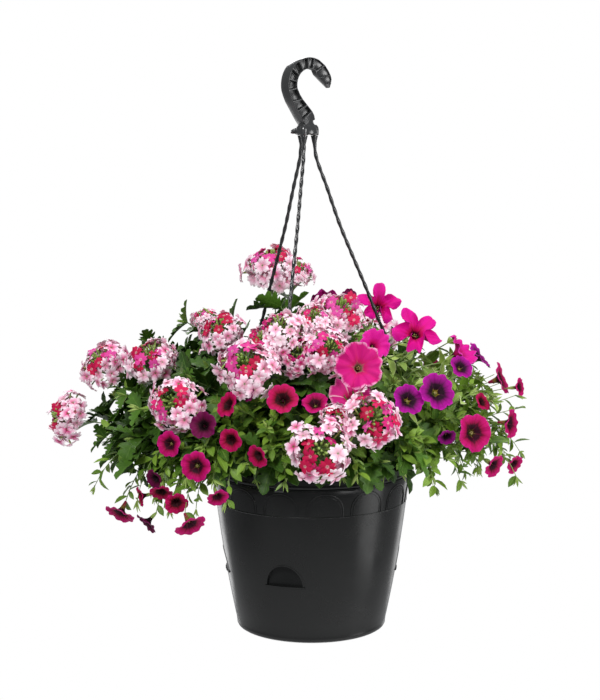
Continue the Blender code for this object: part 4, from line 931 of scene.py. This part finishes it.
def make_pot():
    """The moulded pot: turned wall, windows cut in it, and the low relief of arches on its band."""
    pot = turned("pot_body", pot_profile(), POT_STEPS)
    for angle in WINDOW_ANGLES:
        window(pot, angle)
    routes = []
    for number in range(ARCHES):
        angle = ARCH_FIRST_ANGLE + 360 / ARCHES * number
        routes.append(arch_route(angle, ARCH_HALF_ANGLE, ARCH_TOP_Z))
        routes.append(arch_route(angle, ARCH_HALF_ANGLE - 1.3, ARCH_TOP_Z - 0.0030))
    pot = joined("pot_body", [pot, wire("pot_arches", routes, ARCH_RELIEF * ARCHES, 2)])
    smooth(pot, 28.0)
    settled(dressed(pot, "pot_plastic"), "pot_plastic", "pot")


def soil_height(share):
    """The domed height of the soil at a share of the way to the wall."""
    return SOIL_EDGE_Z + SOIL_DOME * (1 - share ** 2)


def make_soil():
    """Potting mix, crumbly on top, with crumbs lying on it."""
    edge = wall_radius(SOIL_EDGE_Z) - POT_WALL - 0.0016
    bpy.ops.mesh.primitive_grid_add(x_subdivisions=SOIL_GRID, y_subdivisions=SOIL_GRID, size=2.0)
    top = bpy.context.object
    for vertex in top.data.vertices:
        flat = Vector((vertex.co.x, vertex.co.y))
        reach = max(abs(flat.x), abs(flat.y))
        round_flat = flat.normalized() * reach if flat.length else flat
        place = Vector((round_flat.x * edge, round_flat.y * edge, 0))
        rough = noise.fractal(place * 60, 1.0, 2.0, 5) * 0.0030 + noise.noise(place * 420) * 0.0009
        place.z = soil_height(reach) + rough * (1 - reach ** 8)
        vertex.co = place
    edit(top)
    bpy.ops.mesh.select_mode(type='EDGE')
    bpy.ops.mesh.region_to_loop()
    pulled((0, 0, SOIL_BOTTOM_Z - SOIL_EDGE_Z))
    bpy.ops.transform.resize(value=(0.955, 0.955, 1.0))
    bpy.ops.mesh.edge_face_add()
    leave_edit()
    merged(top)
    rng = random.Random(3)
    crumbs = [top]
    for _ in range(CRUMBS):
        place = around(edge * math.sqrt(rng.random()) * 0.93, rng.uniform(0, 360), 0)
        place.z = soil_height(place.length / edge) + 0.0008
        bpy.ops.mesh.primitive_ico_sphere_add(subdivisions=1, radius=rng.uniform(0.0010, 0.0026),
                                              location=place, rotation=[rng.uniform(0, 3) for _ in range(3)])
        crumb = bpy.context.object
        crumb.scale = (1.0, rng.uniform(0.5, 1.0), rng.uniform(0.35, 0.8))
        crumbs.append(crumb)
    soil = joined("potting_mix", crumbs)
    bpy.ops.object.transform_apply(location=True, rotation=True, scale=True)
    smooth(soil, 60.0)
    settled(dressed(soil, "damp_soil"), "soil", "soil")


def hook_outline():
    """Stations along the channel from its tip to its foot: its inner and outer edge, in the hook's plane."""
    pairs = [((0.0268, 0.6497), (0.0292, 0.6500)), ((0.0225, 0.6535), (0.0313, 0.6552)),
             ((0.0180, 0.6572), (0.0321, 0.6600)), ((0.0135, 0.6612), (0.0307, 0.6646)),
             ((0.0095, 0.6650), (0.0277, 0.6694)), ((0.0082, 0.6684), (0.0222, 0.6762))]
    for turn in range(66, 193, 6):
        angle = math.radians(turn)
        pairs.append([(radius * math.cos(angle), HOOK_CENTRE_Z + radius * math.sin(angle))
                      for radius in (HOOK_INNER_RADIUS, HOOK_OUTER_RADIUS)])
    pairs += [((-0.0156, 0.6420), (-0.0293, 0.6395)), ((-0.0110, 0.6360), (-0.0262, 0.6330)),
              ((-0.0075, 0.6325), (-0.0224, 0.6275)), ((-0.0040, 0.6290), (-0.0185, 0.6220)),
              ((-0.0005, 0.6255), (-0.0148, 0.6165)), ((0.0030, 0.6220), (-0.0110, 0.6110)),
              ((0.0058, 0.6175), (-0.0090, 0.6085)), ((0.0070, 0.6125), (-0.0070, 0.6060))]
    return pairs


def select_faces(piece, wanted):
    """Select, in object mode, the faces that wanted accepts."""
    mesh = piece.data
    for kind in (mesh.vertices, mesh.edges, mesh.polygons):
        kind.foreach_set("select", [False] * len(kind))
    for face in mesh.polygons:
        face.select = wanted(face)


def hook_channel():
    """The curved channel: a web behind, and cells between cross ribs sunk in its front."""
    pairs = hook_outline()
    last = len(pairs) - 1
    half = CHANNEL_DEPTH / 2

    def place(across, along):
        inner, outer = pairs[round(along * last)]
        u, z = outer if across > 0.5 else inner
        return Vector((u, -half, z))

    channel = sheet_of("hook_channel", 1, last, place)
    edit(channel)
    pulled((0, CHANNEL_DEPTH, 0))
    bpy.ops.mesh.select_all(action='SELECT')
    bpy.ops.mesh.normals_make_consistent(inside=False)
    leave_edit()
    for first, second in zip(CELL_STATIONS, CELL_STATIONS[1:]):
        spots = []
        for index in range(first, second):
            four = [*pairs[index], *pairs[index + 1]]
            spots.append(Vector((sum(u for u, z in four) / 4, -half, sum(z for u, z in four) / 4)))
        select_faces(channel, lambda face: face.normal.y < -0.9
                     and any((face.center - spot).length < 0.0006 for spot in spots))
        bpy.ops.object.mode_set(mode='EDIT')
        bpy.ops.mesh.select_mode(type='FACE')
        bpy.ops.mesh.inset(thickness=CELL_RIM, depth=0.0, use_boundary=True)
        pulled((0, CELL_DEPTH, 0))
        leave_edit()
    for vertex in channel.data.vertices:
        spot = Vector((vertex.co.x, vertex.co.z))
        nearest = min(range(len(pairs)), key=lambda index: min((spot - Vector(edge)).length
                                                               for edge in pairs[index]))
        depth = min(1.0, TIP_DEPTH + (1 - TIP_DEPTH) * nearest / FULL_DEPTH_STATION)
        vertex.co.y = -half + (vertex.co.y + half) * depth
    bevelled(channel, EDGE_ROUND, 40.0)
    channel.data.transform(Matrix.Rotation(HOOK_YAW, 4, 'Z'))
    return channel


def make_hook():
    """The hook: its channel, and a collar with three lobes and a small tab."""
    pieces = [hook_channel(), turned("hook_collar", COLLAR_PROFILE, 48, COLLAR_BOTTOM_Z)]
    for name, angle in STRAND_ANGLES.items():
        lobe = turned(f"hook_lobe_{name}", LOBE_PROFILE, 28, COLLAR_BOTTOM_Z)
        lobe.data.transform(Matrix.Translation(around(LOBE_RING, angle, 0)))
        pieces.append(lobe)
    tab = sheet_of("hook_tab", 4, 6, lambda across, along: Vector((
        -0.009 - 0.0090 * along, (across - 0.5) * 0.0110 * (1 - along) ** 0.8,
        COLLAR_BOTTOM_Z + 0.0062 - 0.0020 * along + 0.0040 * (across - 0.5))))
    thickened(tab, 0.0030)
    pieces.append(merged(tab, 0.00001))
    hook = joined("hook_moulding", pieces)
    hook.data.transform(Matrix.Translation((HOOK_X, 0, 0)))
    smooth(hook, 35.0)
    settled(dressed(hook, "hook_plastic"), "hook_plastic", "hook")


def strand_line(angle):
    """The points of one strand, from under the collar to its clip."""
    start = around(LOBE_RING, angle, 0) + Vector((HOOK_X, 0, COLLAR_BOTTOM_Z - 0.0023))
    end = around(CLIP_RADIUS, angle, CLIP_TOP_Z - 0.003)
    points = []
    for down, out in STRAND_ROUTE:
        level = start.z + (end.z - start.z) * down
        points.append(Vector((start.x + (end.x - start.x) * out, start.y + (end.y - start.y) * out, level)))
    return points


def twisted_strip(name, angle):
    """The strand's own strip, an oval section twisted along its route."""
    bpy.ops.curve.primitive_bezier_circle_add(radius=1.0)
    section = bpy.context.object
    section.scale = (*STRAND_RADII, 1.0)
    bpy.ops.object.transform_apply(location=False, rotation=False, scale=True)
    section.data.resolution_u = 3
    points = smooth_route(strand_line(angle), STRAND_POINTS)
    turns = length_of(points) / STRAND_PITCH
    curve = bpy.data.curves.new(name, 'CURVE')
    curve.dimensions = '3D'
    curve.bevel_mode = 'OBJECT'
    curve.bevel_object = section
    curve.use_fill_caps = True
    curve.twist_mode = 'MINIMUM'
    line = curve.splines.new('POLY')
    line.points.add(STRAND_POINTS - 1)
    for index, (point, place) in enumerate(zip(line.points, points)):
        point.co = (*place, 1.0)
        point.tilt = 2 * math.pi * turns * index / (STRAND_POINTS - 1)
    only(linked(name, curve))
    bpy.ops.object.convert(target='MESH')
    strip = bpy.context.object
    bpy.data.objects.remove(section)
    return strip


def rim_clip(angle):
    """The clip over the rim, with ribs on its face and a tongue inside."""
    turn = math.radians(angle)
    pieces = [block("clip", CLIP_SIZE, (CLIP_RADIUS, 0, CLIP_TOP_Z - CLIP_SIZE[2] / 2), turn)]
    for step in range(CLIP_RIBS):
        place = (CLIP_RADIUS + CLIP_SIZE[0] / 2 + 0.0002, 0, CLIP_TOP_Z - 0.0050 - 0.0028 * step)
        pieces.append(block("clip_rib", (0.0010, CLIP_SIZE[1] * 0.86, 0.0011), place, turn))
    pieces.append(block("tongue", (0.0100, 0.0046, 0.0020), (CLIP_RADIUS - 0.0050, 0, 0.1975), turn))
    clip = joined("clip", pieces)
    bevelled(clip, EDGE_ROUND)
    return clip


def make_strand(name, angle):
    """One strand: a twisted flat strip, the ribbed plug at its head and the ribbed clip at its foot."""
    strip = twisted_strip(f"twisted_strand_{name}", angle)
    plug = turned("plug", PLUG_PROFILE, 24, COLLAR_BOTTOM_Z - 0.0003)
    plug.data.transform(Matrix.Translation(around(LOBE_RING, angle, 0) + Vector((HOOK_X, 0, 0))))
    shoulder = turned("shoulder", SHOULDER_PROFILE, 16)
    shoulder.data.transform(Matrix.Translation(around(CLIP_RADIUS, angle, CLIP_TOP_Z + 0.0050)))
    strand = joined(f"twisted_strand_{name}", [strip, plug, rim_clip(angle), shoulder])
    merged(strand, 0.000001)
    smooth(strand, 45.0)
    settled(dressed(strand, "strand_plastic"), "strand_plastic", f"strand_{name}")


def make_holder():
    make_pot()
    make_soil()
    make_hook()
    for name, angle in STRAND_ANGLES.items():
        make_strand(name, angle)
    dressed(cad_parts["reservoir_plate"], "plate_plastic")


# Flowers

def flower_name(kind, number):
    """A flower's name, which is also its node's where it has one."""
    return f"{kind}_{number:02d}" if FLOWER_KINDS[kind][2] else f"{kind}_{number}"


def floret_model(number):
    """One verbena floret of radius 1: notched petals cupped round a narrow tube, each waved its own way."""
    rng = random.Random(40 + number)
    pieces = []
    for petal in range(PETALS):
        turn = Matrix.Rotation(2 * math.pi * petal / PETALS + rng.uniform(-0.08, 0.08), 3, 'Z')
        cup = rng.uniform(0.12, 0.52)
        curl = rng.uniform(-0.16, 0.16)
        stretch = rng.uniform(0.90, 1.08)

        def place(across, along):
            side = 2 * across - 1
            half = 0.07 + 0.30 * math.sin(math.pi * min(1.0, along * 0.78)) ** 1.3
            notch = 0.30 * along ** 3 * (1 - abs(side)) ** 1.3
            out = (0.05 + 0.97 * along - notch - 0.16 * along ** 4 * abs(side) ** 3) * stretch
            lift = (0.06 * math.cos(math.pi * side) * along + cup * along - 0.22 * along ** 3
                    + curl * side * along)
            return turn @ Vector((out, side * half, lift))

        def form(across, along):
            return turn @ Vector((0.05 + 0.95 * along, 0.3 * (2 * across - 1) * along, 0))

        pieces.append(sheet_of("petal", 4, 2, place, form))
    petals = joined("floret", pieces)
    thickened(petals, 0.03)
    bpy.ops.mesh.primitive_cone_add(vertices=PETALS, radius1=0.05, radius2=0.09, depth=1.1,
                                    end_fill_type='NOTHING', location=(0, 0, -0.52))
    tube = bpy.context.object
    bpy.ops.object.transform_apply(location=True, rotation=True, scale=True)
    thickened(tube, 0.02)
    add_attribute(tube.data, "form")
    floret = joined("floret", [dressed(petals, "verbena_petal"), dressed(tube, "green_calyx")])
    smooth(floret, 50.0)
    return floret


def bud_model(girth):
    """A closed bud of length 1 on a thin stalk, fatter near its tip."""
    bud = turned("bud", [(0.0, 0.0), (girth * 0.45, 0.02), (girth * 0.5, 0.55), (girth, 0.78),
                         (girth * 0.7, 0.94), (0.0, 1.0)], 6)
    add_attribute(bud.data, "form")
    smooth(dressed(bud, "green_calyx"), 50.0)
    return bud


def head_sprig(axis, young, kind, radius, models, rng):
    """A spoke or floret along its axis in a head: its model, its place in the head, and its size."""
    if kind == "spoke":
        spot = axis * radius * 0.22
        size = radius * rng.uniform(0.50, 0.74)
        return models["spoke"], spot, axis, size
    spot = axis * radius * rng.uniform(0.70, 1.04)
    size = radius * rng.uniform(0.33, 0.42) * (0.84 if young else 1.0)
    model = models[f"floret_{rng.randrange(FLORET_FORMS)}"]
    return model, spot, (axis + stray(rng, 0.25)).normalized(), size


def make_verbena_head(name, row, models, seed):
    """A loose domed cluster: green tubes radiating in the middle, then rings of florets to its edge."""
    centre, azimuth, elevation, radius, pale = row
    rng = random.Random(seed)
    frame_of_head = facing(centre, direction(azimuth, elevation))
    sprigs = []
    for polar, count, kind in HEAD_RINGS:
        shift = rng.uniform(0, 2 * math.pi)
        for number in range(count):
            turn = shift + 2 * math.pi * (number + rng.uniform(-0.25, 0.25)) / count
            tilt = math.radians(polar + rng.uniform(-7, 7))
            axis = Vector((math.sin(tilt) * math.cos(turn), math.sin(tilt) * math.sin(turn), math.cos(tilt)))
            young = math.degrees(tilt) + rng.gauss(0, 8) < YOUNG_ANGLE
            tone = rng.uniform(0.0, 0.45) if young else rng.uniform(0.55, 1.0)
            model, spot, lean, size = head_sprig(axis, young, kind, radius, models, rng)
            place = facing(spot * HEAD_SPREAD, lean, rng.uniform(0, 6)) @ Matrix.Scale(size, 4)
            sprigs.append((model, frame_of_head @ place, tone))
    bpy.ops.mesh.primitive_ico_sphere_add(subdivisions=2, radius=radius * 0.36)
    core = dressed(bpy.context.object, "verbena_stem")
    core.data.transform(frame_of_head)
    add_attribute(core.data, "form")
    add_attribute(core.data, "tone", 'FLOAT')
    head = joined(f"{name}_florets", [planted(name, sprigs), core])
    add_attribute(head.data, "pale", 'FLOAT', pale)
    return head


def lobe_reach(turn, lobes):
    """How far a lobed face reaches at an angle, as a share of its radius."""
    depth, sharpness = LOBES[lobes]
    crest = abs(math.sin(2.5 * turn))
    return 1 - depth * (1 - crest ** sharpness) - 0.07 * crest ** 24


def trumpet_petals(kind, lobes, length, radius, finish, rng):
    """The funnel and its lobed face, in one sheet."""
    petunia = kind == "petunia"
    wave = rng.uniform(0, 2 * math.pi)
    crinkle = rng.uniform(0.03, 0.06) * (2.2 if petunia else 1.0)
    fold = 0.11 if lobes == "star" else 0.0
    rows = len(TRUMPET_PROFILE) - 1

    def place(across, along):
        share, out, depth = TRUMPET_PROFILE[round(along * rows)]
        turn = 2 * math.pi * across
        blend = max(0.0, (share - 0.42) / 0.58)
        frill = 1 + 0.020 * blend ** 3 * math.sin(13 * turn + wave) * petunia
        reach = radius * out * frill * (1 - (1 - lobe_reach(turn, lobes)) * blend ** 0.7)
        waves = (crinkle * 1.4 * math.sin(2 * turn + wave) + crinkle * math.sin(11 * turn + wave)
                 + 0.05 * math.cos(5 * turn) + fold * math.cos(10 * turn) + 0.07)
        lift = (depth * length if depth < 0 else depth * radius) + radius * blend ** 1.5 * waves
        return Vector((reach * math.cos(turn), reach * math.sin(turn), lift))

    def form(across, along):
        share = TRUMPET_PROFILE[round(along * rows)][0]
        turn = 2 * math.pi * across
        reach = max(0.0, (share - 0.36) / 0.64)
        return (reach * math.cos(turn), reach * math.sin(turn), share)

    petals = merged(sheet_of("petals", 60 if petunia else 45, rows, place, form), 0.00002)
    thickened(petals, 0.00035, -1.0)
    return dressed(petals, finish)


def make_trumpet(name, row, kind, models, seed):
    """A funnel-shaped flower: tube, throat and five joined lobes, with its calyx and stamens."""
    centre, azimuth, elevation, radius, colour = row
    rng = random.Random(seed)
    length = TRUMPET_LENGTH[kind]
    lobes = "round" if kind == "calibrachoa" else "star" if colour == "star" else "broad"
    finish = f"{colour}_petunia" if kind == "petunia" else f"{colour}_petal"
    pieces = [trumpet_petals(kind, lobes, length, radius, finish, rng)]
    for number in range(PETALS):
        sepal = linked("sepal", models["sepal"].data.copy())
        sepal.data.transform(Matrix.Translation((0, 0, -length))
                             @ Matrix.Rotation(2 * math.pi * number / PETALS, 4, 'Z')
                             @ Matrix.Translation((radius * 0.05, 0, 0))
                             @ Matrix.Rotation(math.radians(68), 4, 'Y').inverted()
                             @ Matrix.Scale(length * 0.62, 4))
        pieces.append(sepal)
    for number in range(PETALS):
        turn = 2 * math.pi * number / PETALS + 0.3
        spot = Vector((math.cos(turn), math.sin(turn), 0)) * radius * 0.055
        spot.z = -length * (0.30 + 0.03 * (number % 3))
        size = min(radius, 0.020) * 0.038
        bpy.ops.mesh.primitive_ico_sphere_add(subdivisions=1, radius=size, location=spot)
        stamen = bpy.context.object
        bpy.ops.object.transform_apply(location=True, rotation=True, scale=True)
        pieces.append(dressed(stamen, "wine_petal" if colour in ("crimson", "wine") else "pale_stamen"))
    flower = joined(f"{name}_bloom", pieces)
    flower.data.transform(facing(centre, direction(azimuth, elevation), rng.uniform(0, 6)))
    smooth(flower, 50.0)
    return flower


def make_flowers(models):
    for kind, rows in FLOWERS.items():
        seed, plant, has_node = FLOWER_KINDS[kind]
        for number, row in enumerate(rows, 1):
            name = flower_name(kind, number)
            if plant == "verbena":
                flower = make_verbena_head(name, row, models, seed + number - 1)
                slot = "verbena_petal"
            else:
                flower = make_trumpet(name, row, plant, models, seed + number - 1)
                slot = "petunia_petal" if plant == "petunia" else f"{row[-1]}_petal"
            settled(flower, slot, *([name] if has_node else []))


# Foliage

def leaf_model(name, finish, rows, half_width, widest, teeth, fold, droop, waves):
    """A leaf of length 1 along +X, its upper side up: outline, teeth, folded blade and drooping tip."""
    def place(across, along):
        side = 2 * across - 1
        width = half_width * math.sin(math.pi * along ** widest) ** 0.80 + 0.012
        edge = abs(side) > 0.9
        step = round(along * rows)
        forward = 0.0
        if teeth and edge and 1 < step < rows:
            width *= (1 - teeth, 1 + teeth * 0.45, 1 + teeth * 0.8)[step % 3]
            forward = (-0.3, 0.1, 0.5)[step % 3] / rows
        lift = fold * abs(side) * width * 2 - droop * along ** 2
        lift += waves * math.sin(along * 17 + side * 2) * abs(side)
        return Vector((along + forward, side * width, lift))

    def form(across, along):
        return (along, 2 * across - 1, 0)

    leaf = merged(sheet_of(name, 2, rows, place, form), 0.0005)
    thickened(leaf, 0.010)
    smooth(dressed(leaf, finish), 50.0)
    return leaf


def make_models():
    """The leaves, florets and buds that repeat, each modelled once."""
    models = {name: leaf_model(f"{name}_model", *values) for name, values in LEAF_FORMS.items()}
    models["spoke"] = bud_model(0.075)
    for number in range(FLORET_FORMS):
        models[f"floret_{number}"] = floret_model(number)
    return models


def flower_table():
    """For each flower its centre, the way it faces, its radius and its length behind the face."""
    made = {}
    for kind, rows in FLOWERS.items():
        plant = FLOWER_KINDS[kind][1]
        for number, (centre, azimuth, elevation, radius, _) in enumerate(rows, 1):
            back = radius * 0.42 if plant == "verbena" else TRUMPET_LENGTH[plant] - 0.001
            made[flower_name(kind, number)] = (Vector(centre), direction(azimuth, elevation), radius, back)
    return made


def keeps_clear(points, flowers, strands):
    """Whether a leaf keeps off the blooms and the view of them, the strands and the pot's wall."""
    for place in points:
        flat = math.hypot(place.x, place.y)
        if place.z < POT_HEIGHT + 0.002 and RIM_RADIUS - 0.006 < flat < RIM_RADIUS + 0.003:
            return False
        if place.z < SOIL_EDGE_Z and flat < RIM_RADIUS:
            return False
        hung = place + HANG
        if any(hung[axis] < cad_low[axis] - BOX_MARGIN or hung[axis] > cad_high[axis] + BOX_MARGIN
               for axis in range(3)):
            return False
        for centre, towards, radius, back in flowers:
            away = place - centre
            if away.length > 4 * radius:
                continue
            ahead = away.dot(towards)
            aside = (away - towards * ahead).length
            if -radius * 0.3 < ahead < radius * 2.2 and aside < radius:
                return False
            if away.length < radius * 0.95 and back < radius * 0.5:
                return False
            view = (CAMERA_PLACE - centre).normalized()
            near = away.dot(view)
            if near > 0 and (away - view * near).length < radius * 0.85:
                return False
        if any((place - spot).length < STRAND_CLEARANCE for spot in strands):
            return False
    return True


def cubic(start, lift, pull, end, count):
    """Points on a cubic curve from start to end with its two handles."""
    made = []
    for step in range(count):
        t = step / (count - 1)
        made.append(start * (1 - t) ** 3 + lift * 3 * t * (1 - t) ** 2 + pull * 3 * t * t * (1 - t)
                    + end * t ** 3)
    return made


def stem_route(crown, end, towards, rng, count):
    """A stem that rises from the crown, leans out and comes up behind its end."""
    outward = Vector((end.x - crown.x, end.y - crown.y, 0))
    start = crown + outward.normalized() * 0.003
    span = (end - start).length
    lift = start + outward * rng.uniform(0.10, 0.25)
    lift.z += 0.055 + max(0.0, 0.26 - end.z) / 2 + rng.uniform(0, 0.02)
    pull = end - towards * rng.uniform(0.28, 0.42) * span
    if end.z < POT_HEIGHT + 0.03:
        pull = end - outward.normalized() * 0.02 + Vector((0, 0, rng.uniform(0.05, 0.09)))
    sway = stray(rng, 0.006)
    return cubic(start, lift + sway, pull - sway, end, count)


def mound_reach(azimuth):
    """How far the mound of foliage reaches at an azimuth."""
    turn = math.radians(azimuth)
    side = MOUND_RIGHT if math.sin(turn) > 0 else MOUND_LEFT
    depth = MOUND_FRONT if math.cos(turn) > 0 else MOUND_BACK
    return 1 / math.hypot(math.sin(turn) / side, math.cos(turn) / depth)


def mound_tips(plant, rng):
    """Tips of the plant's share of the mound's shoots."""
    low, high = plant["mound"]
    tips = []
    for tier in plant["tiers"]:
        z, share, count = MOUND_TIERS[tier]
        number = round(count * (high - low) / 360)
        for index in range(number):
            azimuth = low + (high - low) * (index + rng.uniform(0.1, 0.9)) / number
            reach = mound_reach(azimuth) * share * rng.uniform(0.86, 1.04)
            level = z + rng.uniform(-0.012, 0.012)
            if tier == 0 and abs(azimuth) < FRONT_ANGLE:
                level = FRONT_TIP_Z + rng.uniform(0, 0.012)
            turn = math.radians(azimuth)
            tips.append(Vector((math.sin(turn) * reach, -math.cos(turn) * reach, level)))
    return tips


def leaf_frame(root, along, turn, rng, droop):
    """A leaf's frame at its root: out from the stem at an angle round it, its upper side up."""
    outward = Vector((root.x, root.y, 0)).normalized()
    side = along.orthogonal().normalized()
    side.rotate(Quaternion(along, turn))
    reach = (side + along * rng.uniform(0.35, 0.9) + outward * 0.25
             + Vector((0, 0, rng.uniform(-0.25, 0.25) - droop * 0.5))).normalized()
    up = (Vector((0, 0, 1)) + outward * 0.7 + stray(rng, 0.25)).normalized()
    normal = (up - reach * up.dot(reach)).normalized()
    across = normal.cross(reach).normalized()
    made = Matrix((reach, across, normal)).transposed().to_4x4()
    made.translation = root
    return made


def stem_leaves(kind, route, models, seen, strands, rng):
    """The leaves along one stem, where they keep clear."""
    habit = FOLIAGE[kind]
    start = habit["bare"]
    nodes = max(2, int(length_of(route) * (1 - start) / habit["step"]))
    turn = rng.uniform(0, 2 * math.pi)
    sprigs = []
    for index in range(nodes + 1):
        share = start + (0.995 - start) * index / nodes
        step = share * (len(route) - 1)
        low = min(int(step), len(route) - 2)
        root = route[low].lerp(route[low + 1], step - low)
        along = (route[low + 1] - route[low]).normalized()
        turn += GOLDEN_ANGLE if habit["whorl"] == 1 else math.pi / 2
        for member in range(habit["whorl"]):
            size = habit["leaf"] * rng.uniform(0.65, 1.15) * (1.0 - 0.30 * max(0.0, share - 0.75) / 0.25)
            place = leaf_frame(root, along, turn + math.pi * member, rng, habit["droop"])
            points = [place @ Vector((size * far, 0, 0)) for far in (0.15, 0.5, 1.0)]
            if keeps_clear(points, seen, strands):
                sprigs.append((models[kind], place @ Matrix.Scale(size, 4), rng.random()))
    return sprigs


def shoot_tip(kind, route, models, seen, strands, rng):
    """The small pale leaves at a shoot's end, where they keep clear."""
    towards = (route[-1] - route[-2]).normalized()
    sprigs = []
    for _ in range(5 if kind == "calibrachoa" else 4):
        lean = (towards + stray(rng, 0.35)).normalized()
        place = facing(route[-1], lean) @ Matrix.Rotation(-math.pi / 2, 4, 'Y')
        size = rng.uniform(0.008, 0.015)
        if keeps_clear([place @ Vector((size, 0, 0))], seen, strands):
            sprigs.append((models["tip"], place @ Matrix.Scale(size, 4), rng.random()))
    return sprigs


def make_plant(name, models, flowers, strands):
    """One plant: stems to its flowers and shoots, with leaves set along them."""
    plant = PLANTS[name]
    kind = name.split("_")[0]
    stem = FOLIAGE[kind]["stem"]
    rng = random.Random(plant["seed"])
    crown = Vector((*plant["crown"], CROWN_Z))
    routes = []
    for flower, numbers in plant["flowers"].items():
        for number in numbers:
            centre, towards, _, back = flowers[flower_name(flower, number)]
            routes.append(stem_route(crown, centre - towards * back, towards, rng, FLOWER_STEM_POINTS))
    carried = len(routes)
    for tip in [Vector(place) for place in plant["shoots"]] + mound_tips(plant, rng):
        towards = Vector((tip.x, tip.y, 0)).normalized() + Vector((0, 0, rng.uniform(0.1, 0.7)))
        routes.append(stem_route(crown, tip, towards.normalized(), rng, SHOOT_STEM_POINTS))
    radii = [stem] * carried + [stem * 0.85] * (len(routes) - carried)
    stems = dressed(wire(f"{name}_stems", routes, radii, 1, STEM_TAPER), f"{kind}_stem")

    sprigs = []
    seen = list(flowers.values())
    for route in routes:
        sprigs += stem_leaves(kind, route, models, seen, strands, rng)
    for route in routes[carried:]:
        sprigs += shoot_tip(kind, route, models, seen, strands, rng)
    leaves = planted(f"{name}_leaves", sprigs)
    add_attribute(stems.data, "form")
    add_attribute(stems.data, "tone", 'FLOAT')
    foliage = joined(f"{name}_foliage", [leaves, stems])
    smooth(foliage, 50.0)
    settled(foliage, f"{kind}_leaf", name)
    print("foliage", name, len(routes), "stems", len(sprigs), "leaves", len(foliage.data.polygons), "faces")


def make_foliage(models):
    flowers = flower_table()
    strands = []
    for angle in STRAND_ANGLES.values():
        strands += smooth_route(strand_line(angle), 90)
    strands = [spot for spot in strands if spot.z < STRAND_CLEAR_Z]
    for name in PLANTS:
        make_plant(name, models, flowers, strands)


# Camera, floor and light

def make_camera():
    """The camera of the photograph."""
    camera = bpy.data.cameras.new("camera")
    camera.lens = CAMERA_LENS
    camera.clip_end = 50.0
    eye = linked("camera", camera)
    eye.location = CAMERA_PLACE + HANG
    eye.rotation_euler = (math.pi / 2 - CAMERA_DOWN, 0, 0)
    bpy.context.scene.camera = eye


def make_floor():
    """A pale floor far below the hanging pot."""
    bpy.ops.mesh.primitive_plane_add(size=FLOOR_SIZE, location=Vector((0, 0, FLOOR_Z)) + HANG)
    floor = bpy.context.object
    floor.name = "floor"
    made, shader = new_material("pale_floor", 0.8)
    shader.inputs["Base Color"].default_value = (0.96, 0.96, 0.96, 1.0)
    floor.data.materials.append(made)


def make_light():
    """Soft light from all sides, and a white background behind it for the camera alone."""
    world = bpy.data.worlds.new("studio")
    world.use_nodes = True
    tree = world.node_tree
    backdrop = tree.nodes["Background"]
    backdrop.inputs["Color"].default_value = (1.0, 1.0, 1.0, 1.0)
    backdrop.inputs["Strength"].default_value = 1.0
    room = add_node(tree, "ShaderNodeBackground", {"Color": (0.95, 0.97, 1.0, 1.0), "Strength": ROOM_LIGHT})
    seen = add_node(tree, "ShaderNodeLightPath").outputs["Is Camera Ray"]
    both = add_node(tree, "ShaderNodeMixShader", {0: seen, 1: room.outputs[0], 2: backdrop.outputs[0]})
    tree.links.new(both.outputs[0], tree.nodes["World Output"].inputs["Surface"])
    bpy.context.scene.world = world
    for name, place, size, power in STUDIO_LIGHTS:
        light = bpy.data.lights.new(name, 'AREA')
        light.shape = 'RECTANGLE'
        light.size, light.size_y = size
        light.energy = power
        lamp = linked(name, light)
        lamp.location = Vector(place) + HANG
        lamp.rotation_euler = (LAMP_TARGET - Vector(place)).to_track_quat('-Z', 'Y').to_euler()
    bpy.context.scene.view_settings.view_transform = 'Standard'


MATERIALS = make_materials()
make_camera()
make_floor()
make_light()
make_holder()
MODELS = make_models()
make_flowers(MODELS)
make_foliage(MODELS)
for model in MODELS.values():
    bpy.data.objects.remove(model)
